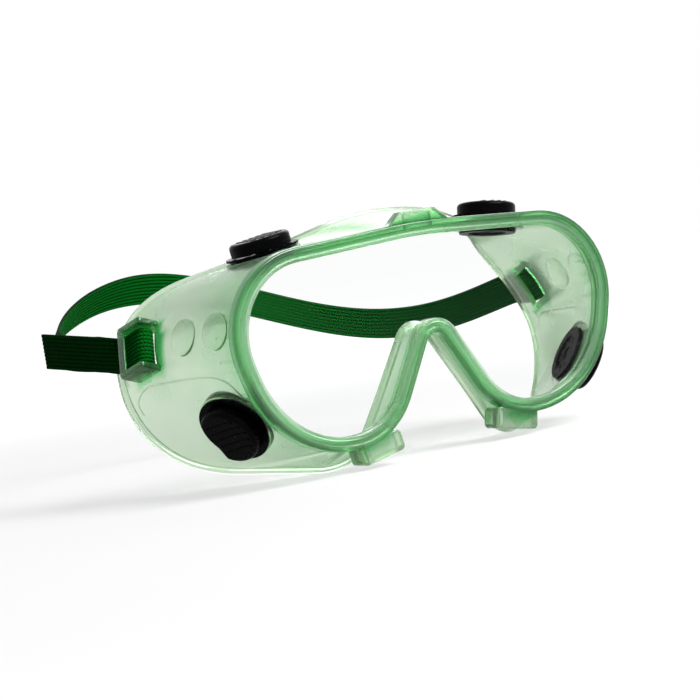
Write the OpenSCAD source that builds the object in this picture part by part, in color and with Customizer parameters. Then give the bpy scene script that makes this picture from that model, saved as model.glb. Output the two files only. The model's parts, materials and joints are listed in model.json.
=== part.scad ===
// Safety goggles with indirect vents: a soft moulded mask, a clear lens, four two-piece
// vents and an elastic head strap looped round a bar on each side.
// Millimetres, +Z up, lens facing -Y, as worn. The origin is the middle of the face opening,
// on the symmetry plane, at the depth of the rim's brow.

/* [Front ring] */
// Height of the ring's top edge on the symmetry plane
ring_top = 34.4; // [32:0.1:37]
// Radius of the ring's top edge where its two halves meet
ring_top_r = 190; // [120:5:260]
// Brow corner of the ring before rounding, sideways
ring_brow_x = 84.8; // [80:0.1:88]
// Brow corner of the ring before rounding, height
ring_brow_z = 29.5; // [27:0.1:33]
// Rounding of the ring's brow corner
ring_brow_r = 28; // [20:0.5:32]
// Cheek corner of the ring before rounding, sideways
ring_cheek_x = 66.3; // [64:0.1:72]
// Cheek corner of the ring before rounding, height
ring_cheek_z = -36.3; // [-40:0.1:-35]
// Rounding of the ring's cheek corner
ring_cheek_r = 38; // [30:0.5:44]
// Nose corner of the ring before rounding, sideways
ring_nose_x = 21.7; // [19:0.1:26]
// Nose corner of the ring before rounding, height
ring_nose_z = -36.3; // [-38:0.1:-33]
// Rounding of the ring's nose corner
ring_nose_r = 27; // [14:0.5:30]
// Height of the ring's nose notch before rounding
ring_bridge_z = 1.2; // [-3:0.1:3]
// Rounding of the ring's nose notch
ring_bridge_r = 4.6; // [3:0.2:7]
// Depth of the ring from front to back
ring_depth = 5; // [4.8:0.1:7]
// Width of the lip that holds the lens edge
lip_w = 4.8; // [4:0.1:6]
// Thickness of the front lip
lip_t = 1.4; // [1:0.1:1.6]
// Skin left outside the lens groove
groove_skin = 1.9; // [1.5:0.1:2.4]
// Step from the ring in to the side wall
step_in = 1.2; // [0.6:0.1:2]

/* [Mask] */
// Thickness of the soft wall
wall = 1.8; // [1.2:0.1:2.4]
// Depth from the front of the ring to the rim at the brow
brow_depth = 24.8; // [22:0.1:30]
// How far the rim sweeps back from the brow to the temples
rim_sweep = 40; // [30:1:44]
// Angle at which the rim leans back with height at the temples
rim_lean = 20; // [10:1:26]
// How far forward of the brow the rim comes at the nose
nose_forward = 10; // [4:0.5:12]
// Outward bulge of the wall halfway back
bulge = 0.5; // [-1:0.1:1.5]
// Height of the rim's top edge on the symmetry plane
rim_top = 43.6; // [41:0.2:46]
// Radius of the rim's top edge where its two halves meet
rim_top_r = 100; // [80:2:150]
// Brow corner of the rim before rounding, sideways
rim_brow_x = 84; // [81:0.1:87]
// Brow corner of the rim before rounding, height
rim_brow_z = 19.8; // [17:0.2:23]
// Rounding of the rim's brow corner
rim_brow_r = 44; // [34:1:48]
// Cheek corner of the rim before rounding, sideways
rim_cheek_x = 90; // [87:0.2:92]
// Cheek corner of the rim before rounding, height
rim_cheek_z = -34; // [-38:0.5:-31]
// Rounding of the rim's cheek corner
rim_cheek_r = 36.5; // [28:0.5:42]
// Nose corner of the rim before rounding, sideways
rim_nose_x = 30.6; // [27:0.2:34]
// Nose corner of the rim before rounding, height
rim_nose_z = -44; // [-46:0.5:-41]
// Rounding of the rim's nose corner
rim_nose_r = 17; // [10:0.5:22]
// Height of the rim's nose notch before rounding
rim_bridge_z = 4.4; // [2:0.2:6]
// Rounding of the rim's nose notch
rim_bridge_r = 6.2; // [4:0.2:8]
// How far the rim's bead stands out of the wall
bead = 1; // [0.6:0.1:1.5]

/* [Lens] */
// Lens thickness
lens_t = 1.8; // [1.4:0.1:1.9]
// Play round the lens in its groove
lens_play = 0.1; // [0.05:0.01:0.2]
// Width of the lens tab in the brow clip
brow_tab_w = 10.5; // [8:0.5:12]
// Width of the lens tab in each nose clip
nose_tab_w = 12; // [9:0.5:13]

/* [Lens clips] */
// Width of the brow clip at its foot
brow_clip_w = 26; // [20:0.5:32]
// Width of the brow clip at its crest
brow_clip_crest = 14; // [13:0.5:18]
// Height of the brow clip above the ring
brow_clip_h = 3.6; // [3:0.2:5]
// Length of a nose clip along the ring
nose_clip_l = 17; // [15:0.5:20]
// Drop of a nose clip below the ring
nose_clip_h = 5.6; // [4.5:0.2:7]
// Depth of a nose clip from front to back
nose_clip_d = 8; // [6:0.5:10]
// Sideways place of a nose clip
nose_clip_x = 28.5; // [26:0.5:31]
// Slope of a nose clip, rising towards the nose
nose_clip_slope = 11; // [6:1:16]
// Skin of the clips round their pockets
clip_skin = 1.1; // [0.8:0.1:1.4]

/* [Vents] */
// Sideways place of the brow vents on the ring
brow_vent_x = 40; // [37:0.5:44]
// How far back the brow vents sit, as a share of the wall
brow_vent_back = 0.52; // [0.48:0.01:0.56]
// Sideways place of the cheek vents on the ring
cheek_vent_x = 66.4; // [64:0.2:69]
// Height of the cheek vents on the ring
cheek_vent_z = -23; // [-25:0.5:-21]
// How far back the cheek vents sit, as a share of the wall
cheek_vent_back = 0.26; // [0.24:0.01:0.32]
// Radius of the hole in the wall for a vent
vent_hole_r = 8.6; // [8:0.1:9]
// Radius of the flat boss round that hole
vent_boss_r = 12.8; // [12.6:0.1:13.4]
// Height of the boss above and below the wall
vent_boss_h = 0.9; // [0.6:0.1:1.4]
// Radius of the vent seat's outer flange
flange_r = 12.4; // [12:0.1:12.6]
// Thickness of a seat flange
flange_t = 1.1; // [0.9:0.1:1.4]
// Radius of the seat's lip inside the wall
seat_lip_r = 10.2; // [9.8:0.1:10.8]
// Clearance of the seat in the faces cut for it
seat_gap = 0.25; // [0.2:0.05:0.4]
// Radius of the vent cap
cap_r = 10.3; // [10:0.1:11]
// Height of the vent cap
cap_h = 4.3; // [3.8:0.1:5]
// Rounding of the cap's top edge
cap_edge = 1.5; // [0.8:0.1:1.8]
// Wall of the cap
cap_wall = 1.2; // [1:0.1:1.6]
// Distance of the cap's flat mouth side from its axis
cap_flat = 6.2; // [5:0.1:9]
// Radius of the cap's turning stem
stem_r = 2.4; // [2:0.1:2.8]
// Running clearance of the stem in the seat, on the radius
stem_play = 0.05; // [0.03:0.01:0.08]
// Number of grip ribs on the cap
cap_ribs = 5; // [3:1:6]

/* [Side marks] */
// Radius of the raised round marks on the side walls
mark_r = 6.2; // [4:0.1:7]
// Height of the raised marks above the wall
mark_h = 0.4; // [0.3:0.05:0.8]
// Height of the marks on the ring
mark_z = 11; // [8:0.1:13]
// How far back the front mark sits, as a share of the wall
mark_front = 0.135; // [0.12:0.005:0.17]
// How far back the rear mark sits, as a share of the wall
mark_rear = 0.41; // [0.35:0.005:0.46]

/* [Strap] */
// Width of the elastic strap
strap_w = 12; // [11:0.5:14]
// Thickness of the elastic strap
strap_t = 1.3; // [1:0.1:1.5]
// Height of the strap's middle line at the bars
strap_z = 6; // [4:0.5:8]
// How far the slack loop rises behind the mask
strap_lift = 4; // [0:1:8]
// How far the slack loop leans up on the left and down on the right
strap_lean = 21; // [0:1:24]
// How far the middle of the slack loop arches above its sides
strap_arch = 13; // [0:1:16]
// Angle at which the slack loop lies over behind the left side
strap_roll = 30; // [0:1:36]
// Clearance of the loop's widest part outside the rim
loop_clear = 3.2; // [2.6:0.1:5]
// Half depth of the strap's loop
loop_long = 83; // [76:1:92]
// Length over which the strap turns upright behind the bar
strap_twist = 24; // [18:1:32]
// Share of the loop's half turn that belongs to the rear run, from its middle
rear_turn = 62; // [50:1:66]
// Length of the loose tail on the left, from the bar
tail_left = 46; // [40:1:58]
// Length of the loose tail on the right, from the bar
tail_right = 21; // [18:1:26]
// Angle at which the loose tails rise
tail_rise = 8; // [0:1:12]
// Length over which the outer layer comes down to the inner one
tail_settle = 11; // [9:0.5:14]
// Gap that parts the strap's layers and its moving lengths
strap_gap = 0.5; // [0.4:0.1:0.8]

/* [Side bars] */
// Depth of the bar that carries the strap
bar_depth = 23; // [21:0.5:26]
// Angle at which the bar's top leans back along the wall
bar_tilt = 20; // [10:1:24]
// Radius of that bar
bar_r = 1.6; // [1.4:0.1:1.9]
// Clearance of the strap round the bar
bar_play = 0.3; // [0.25:0.05:0.4]
// How far the bar's middle stands out of the wall
bar_out = 2; // [1.9:0.1:2.6]
// Thickness of the cheeks above and below the strap
cheek_t = 2.2; // [1.8:0.1:2.8]
// How deep the cheeks are rooted in the wall
cheek_root = 1.5; // [1.2:0.1:1.7]
// Distance from the bar back to the keeper over the strap
keeper_y = 4.8; // [4.4:0.1:5.6]
// Length of the keeper along the strap
keeper_l = 3.2; // [2.4:0.1:4]
// Thickness of the keeper
keeper_t = 1.1; // [1:0.1:1.4]
// Clearance under the keeper
keeper_gap = 0.8; // [0.7:0.1:1]
// Clearance of the window in front of the strap
window_gap = 1.2; // [0.8:0.1:2.4]
// Clearance of the window round the strap
window_play = 0.8; // [0.3:0.1:1.2]

/* [Hidden] */
$fn = 36;
mask_green = [0.62, 0.82, 0.64, 0.75];
lens_clear = [0.92, 0.95, 0.96, 0.35];
vent_black = [0.05, 0.05, 0.06];
strap_green = [0.02, 0.22, 0.07];

arc_steps = 9;
run_steps = 4;
wall_steps = 5;
front_y = -brow_depth;
groove_front = front_y + lip_t;
groove_back = groove_front + lens_t + 2 * lens_play;
ring_half = [[ring_brow_x, ring_brow_z, ring_brow_r],
    [ring_cheek_x, ring_cheek_z, ring_cheek_r],
    [ring_nose_x, ring_nose_z, ring_nose_r]];
rim_half = [[rim_brow_x, rim_brow_z, rim_brow_r],
    [rim_cheek_x, rim_cheek_z, rim_cheek_r],
    [rim_nose_x, rim_nose_z, rim_nose_r]];

function lerp(a, b, t) = a + (b - a) * t;
function unit(v) = v / norm(v);
function flat(p) = [p[0], p[1]];
function before(i, n) = (i + n - 1) % n;
function after(i, n) = (i + 1) % n;

// The corners of a whole outline from its right half, clockwise from the top as seen from the front.
function corners(top, top_r, half, bridge, bridge_r) = concat(
    [[0, top, top_r]], half, [[0, bridge, bridge_r]],
    [for (i = [len(half) - 1:-1:0]) [-half[i][0], half[i][1], half[i][2]]]);

// Directions from corner i to its two neighbours, and the angle between them.
function to_before(c, i) = unit(flat(c[before(i, len(c))]) - flat(c[i]));
function to_after(c, i) = unit(flat(c[after(i, len(c))]) - flat(c[i]));
function opening(c, i) = acos(to_before(c, i) * to_after(c, i));
function tangent(c, i) = c[i][2] / tan(opening(c, i) / 2);

// Share of its rounding that a corner keeps, so that neighbouring arcs never overlap.
function edge(c, i) = norm(flat(c[after(i, len(c))]) - flat(c[i]));
function room(c, i) = min(1, 0.99 * edge(c, i) / (tangent(c, i) + tangent(c, after(i, len(c)))));
function kept(c, i) = min(room(c, i), room(c, before(i, len(c))));

function arc(c, i) = let(
    k = kept(c, i),
    r = c[i][2] * k,
    a = to_before(c, i),
    b = to_after(c, i),
    centre = flat(c[i]) + unit(a + b) * r / sin(opening(c, i) / 2),
    start = flat(c[i]) + a * tangent(c, i) * k - centre,
    end = flat(c[i]) + b * tangent(c, i) * k - centre,
    first = atan2(start[1], start[0]),
    sweep = (atan2(end[1], end[0]) - first + 540) % 360 - 180
) [for (j = [0:arc_steps]) let(turn = first + sweep * j / arc_steps) centre + r * [cos(turn), sin(turn)]];

function outline(c) = [for (i = [0:len(c) - 1])
    let(here = arc(c, i), there = arc(c, after(i, len(c))))
    each concat(here, [for (j = [1:run_steps - 1]) lerp(here[arc_steps], there[0], j / run_steps)])];

function normals(o) = [for (i = [0:len(o) - 1])
    let(d = unit(o[after(i, len(o))] - o[before(i, len(o))])) [-d[1], d[0]]];

ring_line = outline(corners(ring_top, ring_top_r, ring_half, ring_bridge_z, ring_bridge_r));
ring_out = normals(ring_line);
rim_line = outline(corners(rim_top, rim_top_r, rim_half, rim_bridge_z, rim_bridge_r));
rim_out = normals(rim_line);
stations = len(ring_line);
rim_reach = max([for (p = rim_line) p[0]]);

// Depth of the rim: it sweeps back to the temples, leaning, and comes forward below the brow to the nose.
function ease(t) = let(k = min(1, max(0, t))) k * k * (3 - 2 * k);
function rim_y(p) = let(side = pow(sin(90 * p[0] / rim_reach), 4))
    (rim_sweep + p[1] * tan(rim_lean)) * side - nose_forward * ease(1 - p[1] / ring_top) * (1 - side);

// A point of the ring, d out of its outline and y back from the origin.
function ring_point(i, d, y) = let(p = ring_line[i] + ring_out[i] * d) [p[0], y, p[1]];

// A point of the wall at share s of the way back, d out of the wall's outer face.
function wall_out(i, s) = unit(lerp(ring_out[i], rim_out[i], s));
function wall_point(i, s, d = 0) = let(
    p = lerp(ring_line[i] - ring_out[i] * step_in, rim_line[i], s)
        + wall_out(i, s) * (bulge * sin(180 * s) + d),
    y = lerp(front_y + ring_depth + 0.3, rim_y(rim_line[i]) - 2 * bead, s)
) [p[0], y, p[1]];

// A point of the rim's bead, d out of the rim line and y behind its end.
function bead_point(i, d, y) = let(p = rim_line[i] + rim_out[i] * d) [p[0], rim_y(rim_line[i]) + y, p[1]];

// The mask's cross-section at station i: ring, wall, bead, inner wall and lens groove, in that order.
function section(i) = concat(
    [ring_point(i, -lip_w, front_y + lip_t * 0.6),
        ring_point(i, -lip_w + 0.6, front_y + 0.2),
        ring_point(i, -lip_w / 2, front_y),
        ring_point(i, -0.9, front_y + 0.2),
        ring_point(i, 0, front_y + 1.1),
        ring_point(i, 0.2, front_y + ring_depth - 0.8),
        ring_point(i, -0.4, front_y + ring_depth)],
    [for (j = [0:wall_steps]) wall_point(i, j / wall_steps)],
    [bead_point(i, bead, -1.3 * bead),
        bead_point(i, bead, -0.4 * bead),
        bead_point(i, bead / 2, 0),
        bead_point(i, -wall - bead / 4, 0),
        bead_point(i, -wall - bead / 2, -0.6 * bead)],
    [for (j = [wall_steps:-1:0]) wall_point(i, j / wall_steps, -wall)],
    [ring_point(i, -lip_w + 0.4, front_y + ring_depth),
        ring_point(i, -lip_w, front_y + ring_depth - 0.4),
        ring_point(i, -lip_w, groove_back),
        ring_point(i, -groove_skin, groove_back),
        ring_point(i, -groove_skin, groove_front),
        ring_point(i, -lip_w, groove_front)]);

// The shell that the cross-sections make round the whole outline.
module mask_shell() {
    rows = len(section(0));
    quads = [for (i = [0:stations - 1]) for (j = [0:rows - 1])
        [i * rows + j, after(i, stations) * rows + j,
            after(i, stations) * rows + after(j, rows), i * rows + after(j, rows)]];
    polyhedron(
        points = [for (i = [0:stations - 1]) each section(i)],
        faces = [for (q = quads) each [[q[0], q[2], q[1]], [q[0], q[3], q[2]]]],
        convexity = 6);
}

// The station whose ring point is nearest to p.
function nearest(p) = let(far = [for (q = ring_line) norm(q - p)]) search(min(far), far)[0];
brow_vent_station = nearest([brow_vent_x, ring_top]);
cheek_vent_station = nearest([cheek_vent_x, cheek_vent_z]);

// Outward direction of the wall at a station and share.
function wall_normal(i, s) = let(
    along = wall_point(after(i, stations), s) - wall_point(before(i, stations), s),
    back = wall_point(i, s + 0.05) - wall_point(i, s - 0.05)
) unit(cross(along, back));

// Places its children at a point with its own three directions.
module placed(x, y, z, p) {
    multmatrix([[x[0], y[0], z[0], p[0]], [x[1], y[1], z[1], p[1]], [x[2], y[2], z[2], p[2]], [0, 0, 0, 1]])
        children();
}

// Places its children on the wall, +Z outward and +X to the rear.
module on_wall(i, s) {
    z = wall_normal(i, s);
    x = unit([0, 1, 0] - z * z[1]);
    placed(x, cross(z, x), z, wall_point(i, s)) children();
}

module at_vent(place, side) {
    mirror([side < 0 ? 1 : 0, 0, 0])
        if (place == "brow")
            on_wall(brow_vent_station, brow_vent_back) children();
        else
            on_wall(cheek_vent_station, cheek_vent_back) children();
}

// The bar stands off the wall at its depth and the strap's height: +X out of the wall, +Y to the rear, +Z up it.
temple = [for (i = [0:stations - 1]) if (ring_line[i][0] > ring_brow_x / 2) i];
function wall_share(i, y) = (y - wall_point(i, 0)[1]) / (wall_point(i, 1)[1] - wall_point(i, 0)[1]);
temple_off = [for (i = temple) abs(wall_point(i, wall_share(i, bar_depth))[2] - strap_z)];
bar_station = temple[search(min(temple_off), temple_off)[0]];
bar_share = wall_share(bar_station, bar_depth);
bar_x = wall_normal(bar_station, bar_share);
wall_back = unit([0, 1, 0] - bar_x * bar_x[1]);
wall_up = cross(bar_x, wall_back);
bar_y = wall_back * cos(bar_tilt) - wall_up * sin(bar_tilt);
bar_z = cross(bar_x, bar_y);
bar_foot = wall_point(bar_station, bar_share);
bar_at = bar_foot + wall_up * (strap_z - bar_foot[2]) / wall_up[2] + bar_x * bar_out;
wrap_r = bar_r + bar_play + strap_t / 2;

// The strap's loop: an ellipse in plan that clears the rim and starts at the inner side of the bar.
rim_side = max([for (p = rim_line) if (abs(p[1] - strap_z) < strap_w / 2 + 2 * bead) p[0]]) + bead;
loop_half = rim_side + loop_clear;
function way_in(p) = sqrt(1 - pow(p[0] / loop_half, 2));
function flare(p) = atan2(loop_half * way_in(p), loop_long * p[0] / loop_half) - atan2(bar_y[0], bar_y[1]);
strap_flare = flare(bar_at - bar_x * wrap_r);
loop_start = bar_at + wrap_r * (sin(strap_flare) * bar_y - cos(strap_flare) * bar_x);
loop_way = sin(strap_flare) * bar_x + cos(strap_flare) * bar_y;
loop_dip = loop_way[2] / norm(flat(loop_way));
loop_mid = loop_start[1] + loop_long * way_in(loop_start);
loop_first = -acos(loop_start[0] / loop_half);
function loop_point(turn) = [loop_half * cos(turn), loop_mid + loop_long * sin(turn)];
function loop_out(turn) = unit([loop_long * cos(turn), loop_half * sin(turn)]);

// Height of the slack loop, and the direction of the strap's width at a length s from the bar.
function loop_z(turn) = let(way = (turn - loop_first) / (180 - 2 * loop_first))
    pow(sin(180 * way), 2) * (strap_lift - strap_lean * cos(turn) - strap_arch * cos(2 * turn));
function lie(turn) = let(k = ease((turn - 75) / 45) * ease((185 - turn) / 40)) strap_roll * k;
function loop_up(turn) = let(out = loop_out(turn), a = lie(turn)) [-out[0] * sin(a), -out[1] * sin(a), cos(a)];
function strap_up(s) = unit(lerp(bar_z, [0, 0, 1], ease(s / strap_twist)));
function run_up(side, turn) = unit(mirrored(side, strap_up(length_at(turn)))
    + (side < 0 ? loop_up(180 - turn) - [0, 0, 1] : [0, 0, 0]));
function length_at(turn) = (turn - loop_first) * loop_long * PI / 180;
function turn_at(s) = loop_first + s / loop_long * 180 / PI;
function mirrored(side, v) = [side * v[0], v[1], v[2]];
function run_at(side, turn) = let(p = loop_point(turn), s = length_at(turn)) [side * p[0], p[1],
    lerp(loop_start[2] + loop_dip * s, strap_z, ease(s / strap_twist)) + loop_z(side < 0 ? 180 - turn : turn)];

// A flat band along a route in space, with the direction of its width at each point.
module band(route, ups) {
    n = len(route);
    dir = [for (i = [0:n - 1]) unit(route[min(i + 1, n - 1)] - route[max(i - 1, 0)])];
    corner = [[-1, -1], [1, -1], [1, 1], [-1, 1]];
    points = [for (i = [0:n - 1]) for (c = corner)
        route[i] + unit(cross(ups[i], dir[i])) * c[0] * strap_t / 2 + ups[i] * c[1] * strap_w / 2];
    quads = [for (i = [0:n - 2]) for (j = [0:3])
        [4 * i + j, 4 * i + (j + 1) % 4, 4 * i + 4 + (j + 1) % 4, 4 * i + 4 + j]];
    polyhedron(points = points,
        faces = concat([[0, 1, 2], [0, 2, 3]], [for (q = quads) each [[q[0], q[2], q[1]], [q[0], q[3], q[2]]]],
            [[for (j = [0, 2, 1]) 4 * n - 4 + j], [for (j = [0, 3, 2]) 4 * n - 4 + j]]),
        convexity = 6);
}

module at_bar() {
    placed(bar_x, bar_y, bar_z, bar_at) children();
}

module rounded_block(size, r) {
    hull()
        for (a = [-1, 1], b = [-1, 1])
            translate([a * (size[0] / 2 - r), b * (size[1] / 2 - r), -size[2] / 2])
                cylinder(r = r, h = size[2], $fn = 16);
}

// The bar of one side, the cheeks that hold it and the keeper over the strap.
bracket_front = wrap_r + strap_t / 2 + window_gap;
bracket_rear = keeper_y + keeper_l;
bracket_crest = wrap_r + strap_t / 2 + keeper_gap + keeper_t;
bracket_foot = bar_out + cheek_root;
bracket_half = strap_w / 2 + window_play + cheek_t;
module side_bar() {
    at_bar() {
        hull()
            for (up = [-1, 1])
                translate([0, 0, up * bracket_half / 2])
                    cylinder(r = bar_r, h = bracket_half - cheek_t, center = true);
        for (up = [-1, 1])
            translate([(bracket_crest - bracket_foot) / 2, (bracket_rear - bracket_front) / 2,
                    up * (bracket_half - cheek_t / 2)])
                rounded_block([bracket_crest + bracket_foot, bracket_rear + bracket_front, cheek_t], keeper_t);
        translate([bracket_crest - keeper_t / 2, keeper_y + keeper_l / 2, 0])
            rounded_block([keeper_t, keeper_l, 2 * bracket_half - cheek_t], 0.45 * keeper_t);
    }
}

// The window through the wall, as long as the strap needs to come out of it.
window_rear = wrap_r * sin(strap_flare)
    + (wrap_r * cos(strap_flare) + strap_t - bar_out + window_play) / tan(strap_flare);
module side_window() {
    at_bar()
        translate([-bar_out - 2 * wall, -bracket_front, -strap_w / 2 - window_play])
            cube([2 * wall + window_play, bracket_front + window_rear, strap_w + 2 * window_play]);
}

// Middle of the ring's depth, where the lens tabs pass out of the groove.
tab_y = (groove_front + groove_back) / 2;
clip_depth = lens_t + 2 * lens_play + 2 * clip_skin;

module at_nose_clip() {
    foot = ring_line[nearest([nose_clip_x, ring_nose_z])];
    translate([nose_clip_x, tab_y, foot[1]]) rotate([0, nose_clip_slope, 0]) children();
}

module brow_clip() {
    translate([0, tab_y, ring_top - 1.4])
        rotate([90, 0, 0])
            hull()
                for (side = [-1, 1]) {
                    translate([side * (brow_clip_w / 2 - 0.4), 0.4, 0])
                        cylinder(r = 0.4, h = clip_depth, center = true, $fn = 16);
                    translate([side * (brow_clip_crest / 2 - 1), brow_clip_h + 0.4, 0])
                        cylinder(r = 1, h = clip_depth, center = true, $fn = 24);
                }
}

module nose_clip() {
    at_nose_clip()
        translate([0, (nose_clip_d - clip_depth) / 2, 0.75 - nose_clip_h / 2])
            rotate([90, 0, 0])
                rounded_block([nose_clip_l, nose_clip_h + 1.5, nose_clip_d], 1.6);
}

// The tabs of the lens, or with play the pockets that they go through.
module lens_tabs(play) {
    translate([0, tab_y, ring_top - groove_skin])
        cube([brow_tab_w + 2 * play, lens_t + 3 * play, 2 * (groove_skin + brow_clip_h - clip_skin)], center = true);
    for (side = [-1, 1])
        mirror([side < 0 ? 1 : 0, 0, 0])
            at_nose_clip()
                translate([0, 0, (groove_skin - nose_clip_h + clip_skin) / 2])
                    cube([nose_tab_w + 2 * play, lens_t + 3 * play, groove_skin + nose_clip_h - clip_skin + 3],
                        center = true);
}

// Soft one-piece mask with its lens groove, clips, vent holes and strap bars.
module frame_body() {
    color(mask_green)
        difference() {
            union() {
                mask_shell();
                brow_clip();
                for (side = [-1, 1])
                    mirror([side < 0 ? 1 : 0, 0, 0]) {
                        nose_clip();
                        side_bar();
                        for (back = [mark_front, mark_rear])
                            on_wall(nearest([ring_brow_x, mark_z]), back)
                                translate([0, 0, -wall / 2])
                                    cylinder(r = mark_r, h = wall / 2 + mark_h);
                    }
                for (place = ["brow", "cheek"], side = [-1, 1])
                    at_vent(place, side)
                        translate([0, 0, -wall - vent_boss_h])
                            cylinder(r = vent_boss_r, h = wall + 2 * vent_boss_h);
            }
            for (place = ["brow", "cheek"], side = [-1, 1])
                at_vent(place, side) {
                    translate([0, 0, -wall - 6])
                        cylinder(r = vent_hole_r, h = wall + 12);
                    translate([0, 0, vent_boss_h])
                        cylinder(r = flange_r + seat_gap, h = 6);
                    translate([0, 0, -wall - vent_boss_h - 6])
                        cylinder(r = seat_lip_r + seat_gap, h = 6);
                }
            for (side = [-1, 1])
                mirror([side < 0 ? 1 : 0, 0, 0])
                    side_window();
            lens_tabs(lens_play);
        }
}

// Flat clear lens with a tab for each clip.
module lens() {
    edge_in = groove_skin + lens_play;
    color(lens_clear) {
        translate([0, groove_front + lens_play + lens_t, 0])
            rotate([90, 0, 0])
                linear_extrude(lens_t)
                    polygon([for (i = [0:stations - 1]) ring_line[i] - ring_out[i] * edge_in]);
        lens_tabs(0);
    }
}

// Height of the seat's outer face above the wall.
seat_top = vent_boss_h + flange_t;
hub_r = stem_r + stem_play + 1.6;
neck_r = vent_hole_r - 0.1;

// Spool that clips into the wall's hole: two flanges, a neck and a web with air holes round the hub.
module vent_seat(place, side) {
    low = -wall - vent_boss_h;
    color(vent_black)
        at_vent(place, side)
            difference() {
                rotate_extrude()
                    polygon([[stem_r + stem_play, low - flange_t + 0.4], [neck_r - 2.4, low - flange_t + 0.4],
                        [neck_r - 1.6, low - flange_t - 0.3], [seat_lip_r - 0.3, low - flange_t - 0.3],
                        [seat_lip_r, low], [neck_r, low], [neck_r, vent_boss_h],
                        [flange_r - 1.4, vent_boss_h], [flange_r, vent_boss_h + 0.5],
                        [flange_r, seat_top + 0.2], [flange_r - 1.2, seat_top],
                        [neck_r - 1.6, seat_top], [neck_r - 1.6, 0], [hub_r, 0], [hub_r, seat_top - 0.4],
                        [stem_r + stem_play, seat_top - 0.4]]);
                for (i = [0:9])
                    rotate([0, 0, 36 * i])
                        translate([(hub_r + neck_r - 1.6) / 2, 0, low - flange_t - 1])
                            cylinder(r = 0.7, h = -low + flange_t + 2, $fn = 16);
            }
}

// Hood that turns on its stem in the seat, flat on the side of its air mouth.
module vent_cap(place, side) {
    foot = seat_top + 0.35;
    color(vent_black)
        at_vent(place, side) {
            difference() {
                translate([0, 0, foot])
                    rotate_extrude()
                        polygon(concat([[0, cap_h - cap_wall], [cap_r - cap_wall, cap_h - cap_wall],
                            [cap_r - cap_wall, 0], [cap_r, 0]],
                            [for (i = [0:6]) [cap_r - cap_edge + cap_edge * cos(15 * i),
                                cap_h - cap_edge + cap_edge * sin(15 * i)]],
                            [[0, cap_h]]));
                translate([cap_flat, -cap_r - 1, foot - 1])
                    cube([cap_r, 2 * cap_r + 2, cap_h + 2]);
            }
            intersection() {
                translate([0, 0, foot]) cylinder(r = cap_r - cap_wall / 2, h = cap_h - cap_wall / 2);
                translate([cap_flat - cap_wall, -cap_r, foot + cap_h / 3])
                    cube([cap_wall, 2 * cap_r, cap_h]);
            }
            translate([0, 0, -wall - vent_boss_h - flange_t + 0.8])
                cylinder(r = stem_r, h = foot + cap_h - cap_wall / 2 + wall + vent_boss_h + flange_t - 0.8);
            for (i = [0:cap_ribs - 1]) {
                across = (i - (cap_ribs - 1) / 2) * 2.6;
                half = sqrt(pow(cap_r - cap_edge - 0.6, 2) - across * across);
                front = -half;
                back = min(half, cap_flat - 1);
                translate([front, across - 0.5, foot + cap_h - 0.3])
                    cube([back - front, 1, 0.55]);
            }
        }
}

// Rear run of the strap, which moves back as the elastic stretches.
module strap_rear() {
    steps = 56;
    turns = [for (i = [0:steps]) 90 + rear_turn * (2 * i / steps - 1)];
    color(strap_green) band([for (turn = turns) run_at(1, turn)], [for (turn = turns) loop_up(turn)]);
}

function backwards(v) = [for (i = [len(v) - 1:-1:0]) v[i]];
gap_turn = strap_gap / loop_long * 180 / PI;
tail_root = bracket_rear + 4 * strap_gap;

// The outer layer of the strap: from the bar it comes down to the run beneath, then leaves it as a straight tail.
function layer_off(s) = lerp(2 * wrap_r, strap_t + strap_gap, ease(s / tail_settle));
function run_out(side, s) = let(turn = turn_at(s), ahead = run_at(side, turn + 1) - run_at(side, turn))
    side * unit(cross(ahead, mirrored(side, strap_up(s))));
function layer_at(side, s) = run_at(side, turn_at(s)) + run_out(side, s) * layer_off(s);
function tail_way(side) = let(turn = turn_at(tail_root), d = run_at(side, turn + 1) - run_at(side, turn))
    unit([d[0], d[1], norm(flat(d)) * tan(tail_rise)]);
function tail_at(side, s) = layer_at(side, tail_root) + tail_way(side) * (s - tail_root);

// Side run from the keeper forward over the bar, round its front and back to the rear run.
module strap_side(side) {
    steps = 22;
    last = 90 - rear_turn - gap_turn;
    over = [for (i = [8:-1:1]) tail_root * i / 8];
    wrap = [for (i = [0:10]) -strap_flare - 18 * i];
    turns = [for (i = [1:steps]) lerp(loop_first, last, i / steps)];
    route = concat([for (s = over) layer_at(side, s)],
        [for (t = wrap) mirrored(side, bar_at + wrap_r * (cos(t) * bar_x + sin(t) * bar_y))],
        [for (turn = turns) run_at(side, turn)]);
    ups = concat([for (s = over) mirrored(side, strap_up(s))], [for (t = wrap) mirrored(side, bar_z)],
        [for (turn = turns) run_up(side, turn)]);
    color(strap_green) band(side < 0 ? backwards(route) : route, side < 0 ? backwards(ups) : ups);
}

// Loose end that leaves the keeper outside the side run.
module strap_tail(side, length) {
    steps = 12;
    lengths = [for (i = [0:steps]) lerp(tail_root + strap_gap, length, i / steps)];
    route = [for (s = lengths) tail_at(side, s)];
    ups = [for (s = lengths) mirrored(side, strap_up(s))];
    color(strap_green) band(side < 0 ? backwards(route) : route, side < 0 ? backwards(ups) : ups);
}

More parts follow.
